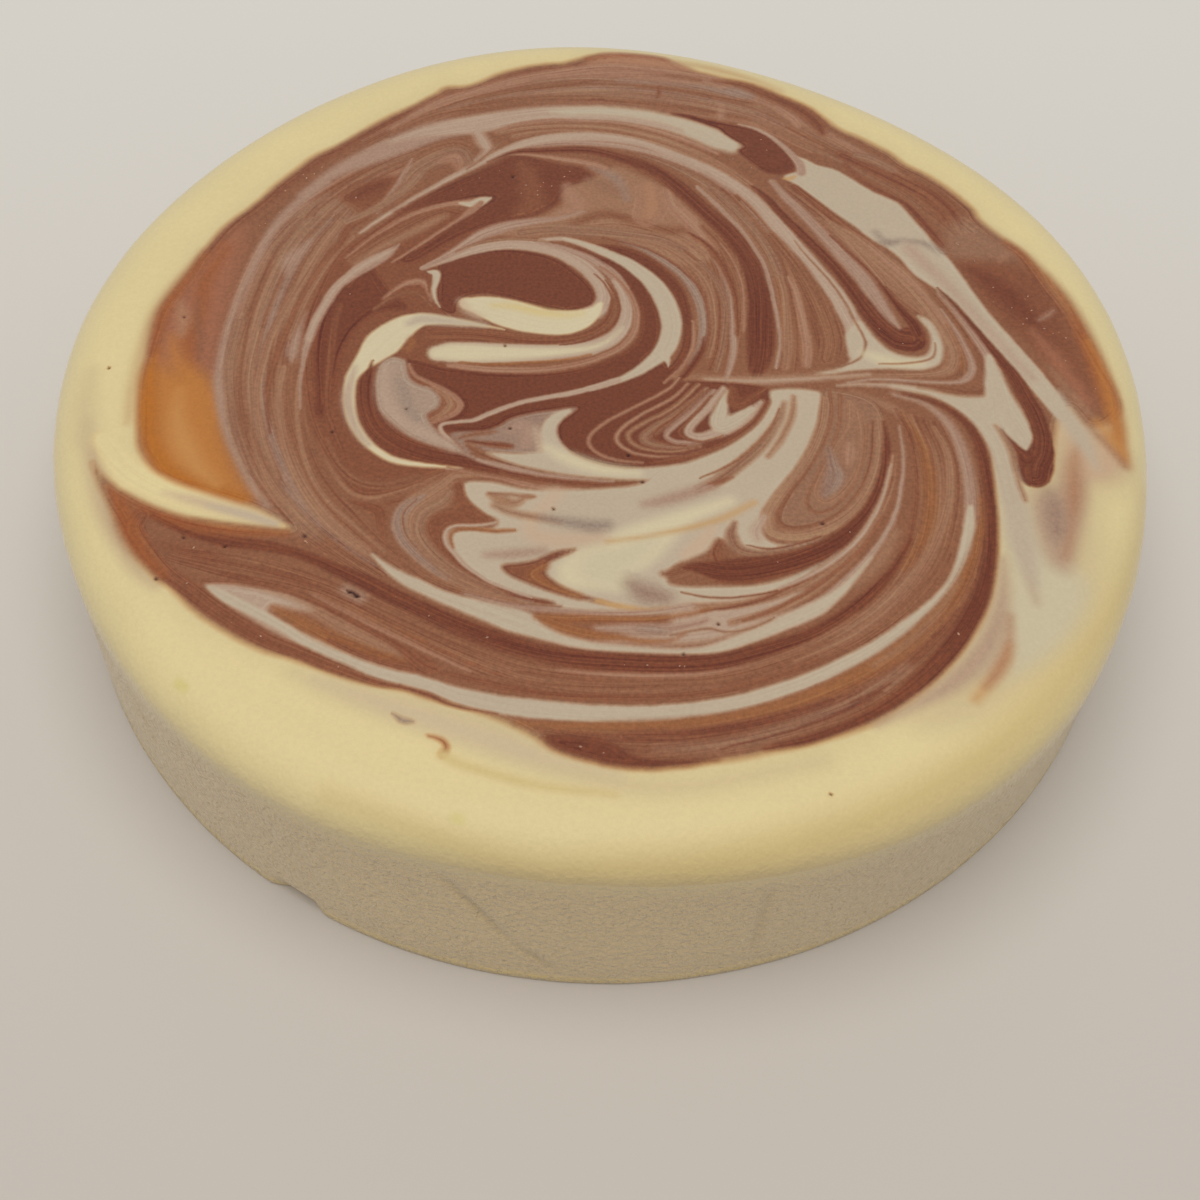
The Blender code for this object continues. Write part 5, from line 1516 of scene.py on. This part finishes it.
# Dry specks on the outer dark bends: the most red of a tone that has them, and their least distance from the
# middle in millimetres. Their own sizes are in metres
REDDEST_WITH_SPECKS = 146
SPECKS_START = 50.0
SPECKS_A_SQUARE_METRE = 45000.0
SPECK_SEED = 7
SMALLEST_SPECK = 0.00013
LARGEST_SPECK = 0.00036
SPECK_FLATNESS = 0.35
SPECK_NARROWNESS = 0.65
SPECK_TONE = (186, 138, 112)
SPECK_SHADE = 0.7
SPECK_ROUGHNESS = 0.6
SPECK_MOTTLE_SCALE = 300.0


def scatter_group():
    """Strews small flat grains over a mesh's faces, each with its own size and turn."""
    group = bpy.data.node_groups.new("scatter_specks", "GeometryNodeTree")
    for label, kind in (
        ("Ground", "NodeSocketGeometry"), ("Density", "NodeSocketFloat"), ("Seed", "NodeSocketInt"),
        ("Smallest", "NodeSocketFloat"), ("Largest", "NodeSocketFloat"), ("Flatness", "NodeSocketFloat"),
        ("Material", "NodeSocketMaterial"),
    ):
        group.interface.new_socket(label, in_out="INPUT", socket_type=kind)
    group.interface.new_socket("Specks", in_out="OUTPUT", socket_type="NodeSocketGeometry")
    tree = Tree(group)
    given = tree.node("NodeGroupInput").outputs
    spots = tree.node("GeometryNodeDistributePointsOnFaces", {
        "Mesh": given["Ground"], "Density": given["Density"], "Seed": given["Seed"],
    })
    least, most, seed = 2, 3, 8
    size = tree.node("FunctionNodeRandomValue", {
        least: given["Smallest"], most: given["Largest"], seed: given["Seed"],
    }, data_type="FLOAT").outputs[1]
    turn = tree.node("FunctionNodeRandomValue", {
        1: (0.0, 0.0, math.tau), seed: given["Seed"],
    }, data_type="FLOAT_VECTOR").outputs[0]
    narrow = tree.math("MULTIPLY", size, SPECK_NARROWNESS)
    grain = tree.node("GeometryNodeMeshIcoSphere", {"Radius": 1.0, "Subdivisions": 1}).outputs["Mesh"]
    placed = tree.node("GeometryNodeInstanceOnPoints", {
        "Points": spots.outputs["Points"], "Instance": grain, "Rotation": turn,
        "Scale": tree.vector(size, narrow, tree.math("MULTIPLY", size, given["Flatness"])),
    })
    real = tree.node("GeometryNodeRealizeInstances", {"Geometry": placed.outputs["Instances"]})
    dressed = tree.node("GeometryNodeSetMaterial", {
        "Geometry": real.outputs[0], "Material": given["Material"],
    })
    tree.feed(tree.node("NodeGroupOutput").inputs["Specks"], dressed.outputs[0])
    return group


def speck_material():
    """Pale dry crumb in two close tones."""
    material = bpy.data.materials.new("dry_speck")
    material.use_nodes = True
    shader = material.node_tree.nodes["Principled BSDF"]
    tree = Tree(material.node_tree)
    place = tree.node("ShaderNodeTexCoord").outputs["Object"]
    tone = (*linear(SPECK_TONE), 1.0)
    darker = (*(linear(SPECK_TONE) * SPECK_SHADE), 1.0)
    share = tree.ramp(tree.noise(place, SPECK_MOTTLE_SCALE), 0.35, 0.65)
    tree.feed(shader.inputs["Base Color"], tree.mix(share, darker, tone))
    shader.inputs["Roughness"].default_value = SPECK_ROUGHNESS
    return material


def build_specks(points, dark):
    """Bakes the specks over the dark faces into one plain mesh that keeps below the cake's height."""
    ground = bpy.data.meshes.new("dark_ground")
    corners, faces = np.unique(dark, return_inverse=True)
    ground.from_pydata((points[corners] * MM).tolist(), [], faces.reshape(dark.shape).tolist())
    holder = bpy.data.objects.new("dark_ground", ground)
    bpy.context.scene.collection.objects.link(holder)
    group = scatter_group()
    scatter = holder.modifiers.new("scatter", "NODES")
    scatter.node_group = group
    wanted = {
        "Density": SPECKS_A_SQUARE_METRE, "Seed": SPECK_SEED, "Smallest": SMALLEST_SPECK,
        "Largest": LARGEST_SPECK, "Flatness": SPECK_FLATNESS, "Material": speck_material(),
    }
    for item in group.interface.items_tree:
        if item.in_out == "INPUT" and item.name in wanted:
            scatter[item.identifier] = wanted[item.name]
    mesh = bpy.data.meshes.new_from_object(holder.evaluated_get(bpy.context.evaluated_depsgraph_get()))
    holder.modifiers.remove(scatter)
    bpy.data.objects.remove(holder)
    for corner in mesh.vertices:
        corner.co.z = min(corner.co.z, CAKE_HEIGHT * MM)
    mesh.shade_smooth()
    specks = bpy.data.objects.new("dry_specks", mesh)
    bpy.context.scene.collection.objects.link(specks)
    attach(specks, "root")


def build_cake():
    """The dressed body in place of the plain solid, and the specks on it."""
    points, triangles, base = body_shape()
    mesh = bpy.data.meshes.new("marbled_cake")
    mesh.from_pydata((points * MM).tolist(), [], triangles.tolist() + [base])
    mesh.shade_smooth()
    mesh.polygons[-1].use_smooth = False
    dark = paint_body(mesh, points, triangles)
    mesh.materials.append(cake_material())
    cake = bpy.data.objects.new("marbled_cake", mesh)
    bpy.context.scene.collection.objects.link(cake)
    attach(cake, "root")
    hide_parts("cheesecake")
    build_specks(points, dark)


# Camera, fitted to the outline of the cake in the picture: degrees, millimetres and pixels
CAMERA_ELEVATION = 51.38
CAMERA_DISTANCE = 341.709
CAMERA_AIM_HEIGHT = 2.2
CAMERA_FOCAL_PIXELS = 1700
CAMERA_YAW = 0.087
CAMERA_PITCH = -3.069
CAMERA_ROLL = 2.399
SENSOR_WIDTH = 36.0

# Pale floor with painted light falloff, darker near the viewer; lit sky and one lamp overhead, in metres and
# watts
FLOOR_SIZE = 6.0
FLOOR_BLEND = 0.25
FLOOR_ROUGHNESS = 0.8
FLOOR_FAR_LIT = (219, 216, 210)
FLOOR_NEAR_SHADED = (192, 184, 176)
SKY_TONE = (1.0, 0.985, 0.96)
SKY_STRENGTH = 0.45
LAMP_TONE = (1.0, 0.985, 0.955)
LAMP_POWER = 12.0
LAMP_SIZE = 1.3
LAMP_PLACE = (-0.05, -0.15, 1.35)


def turned(first, second, degrees):
    """Two directions at right angles, turned by an angle from the first towards the second."""
    turn = math.radians(degrees)
    ahead = first * math.cos(turn) + second * math.sin(turn)
    return ahead, second * math.cos(turn) - first * math.sin(turn)


def build_camera():
    """A camera that looks down at the middle of the cake, then is turned to frame it as the picture does."""
    elevation = math.radians(CAMERA_ELEVATION)
    away = Vector((0, -math.cos(elevation), math.sin(elevation)))
    right = Vector((1, 0, 0))
    forward, up = turned(-away, right.cross(-away), CAMERA_PITCH)
    forward, right = turned(forward, right, CAMERA_YAW)
    right, up = turned(right, up, CAMERA_ROLL)
    data = bpy.data.cameras.new("view_of_cake")
    data.sensor_width = SENSOR_WIDTH
    data.lens = CAMERA_FOCAL_PIXELS * SENSOR_WIDTH / PICTURE_SIDE
    camera = bpy.data.objects.new("view_of_cake", data)
    turn = Matrix((right, up, -forward)).transposed().to_4x4()
    place = away * CAMERA_DISTANCE * MM + Vector((0, 0, CAMERA_AIM_HEIGHT * MM))
    camera.matrix_world = Matrix.Translation(place) @ turn
    bpy.context.scene.collection.objects.link(camera)
    bpy.context.scene.camera = camera


def build_floor():
    """A flat sheet whose tone grows paler away from the viewer, as painted light falloff."""
    mesh = bpy.data.meshes.new("floor")
    half = FLOOR_SIZE / 2
    corners = [(-half, -half, 0), (half, -half, 0), (half, half, 0), (-half, half, 0)]
    mesh.from_pydata(corners, [], [(0, 1, 2, 3)])
    material = bpy.data.materials.new("pale_floor")
    material.use_nodes = True
    tree = Tree(material.node_tree)
    shader = material.node_tree.nodes["Principled BSDF"]
    away = tree.parts(tree.node("ShaderNodeTexCoord").outputs["Object"])[1]
    share = tree.ramp(away, -FLOOR_BLEND, FLOOR_BLEND)
    tone = tree.mix(share, (*linear(FLOOR_NEAR_SHADED), 1.0), (*linear(FLOOR_FAR_LIT), 1.0))
    tree.feed(shader.inputs["Base Color"], tone)
    shader.inputs["Roughness"].default_value = FLOOR_ROUGHNESS
    mesh.materials.append(material)
    floor = bpy.data.objects.new("floor", mesh)
    bpy.context.scene.collection.objects.link(floor)


def build_light():
    """One large lamp above the cake and an even sky."""
    lamp = bpy.data.lights.new("soft_box", "AREA")
    lamp.shape = "DISK"
    lamp.size = LAMP_SIZE
    lamp.energy = LAMP_POWER
    lamp.color = LAMP_TONE
    box = bpy.data.objects.new("soft_box", lamp)
    box.location = LAMP_PLACE
    box.rotation_euler = (-Vector(LAMP_PLACE)).to_track_quat("-Z", "Y").to_euler()
    bpy.context.scene.collection.objects.link(box)
    world = bpy.data.worlds.new("studio")
    world.use_nodes = True
    background = world.node_tree.nodes["Background"]
    background.inputs["Color"].default_value = (*SKY_TONE, 1.0)
    background.inputs["Strength"].default_value = SKY_STRENGTH
    scene = bpy.context.scene
    scene.world = world
    scene.view_settings.view_transform = "Standard"


build_cake()
build_floor()
build_light()
build_camera()
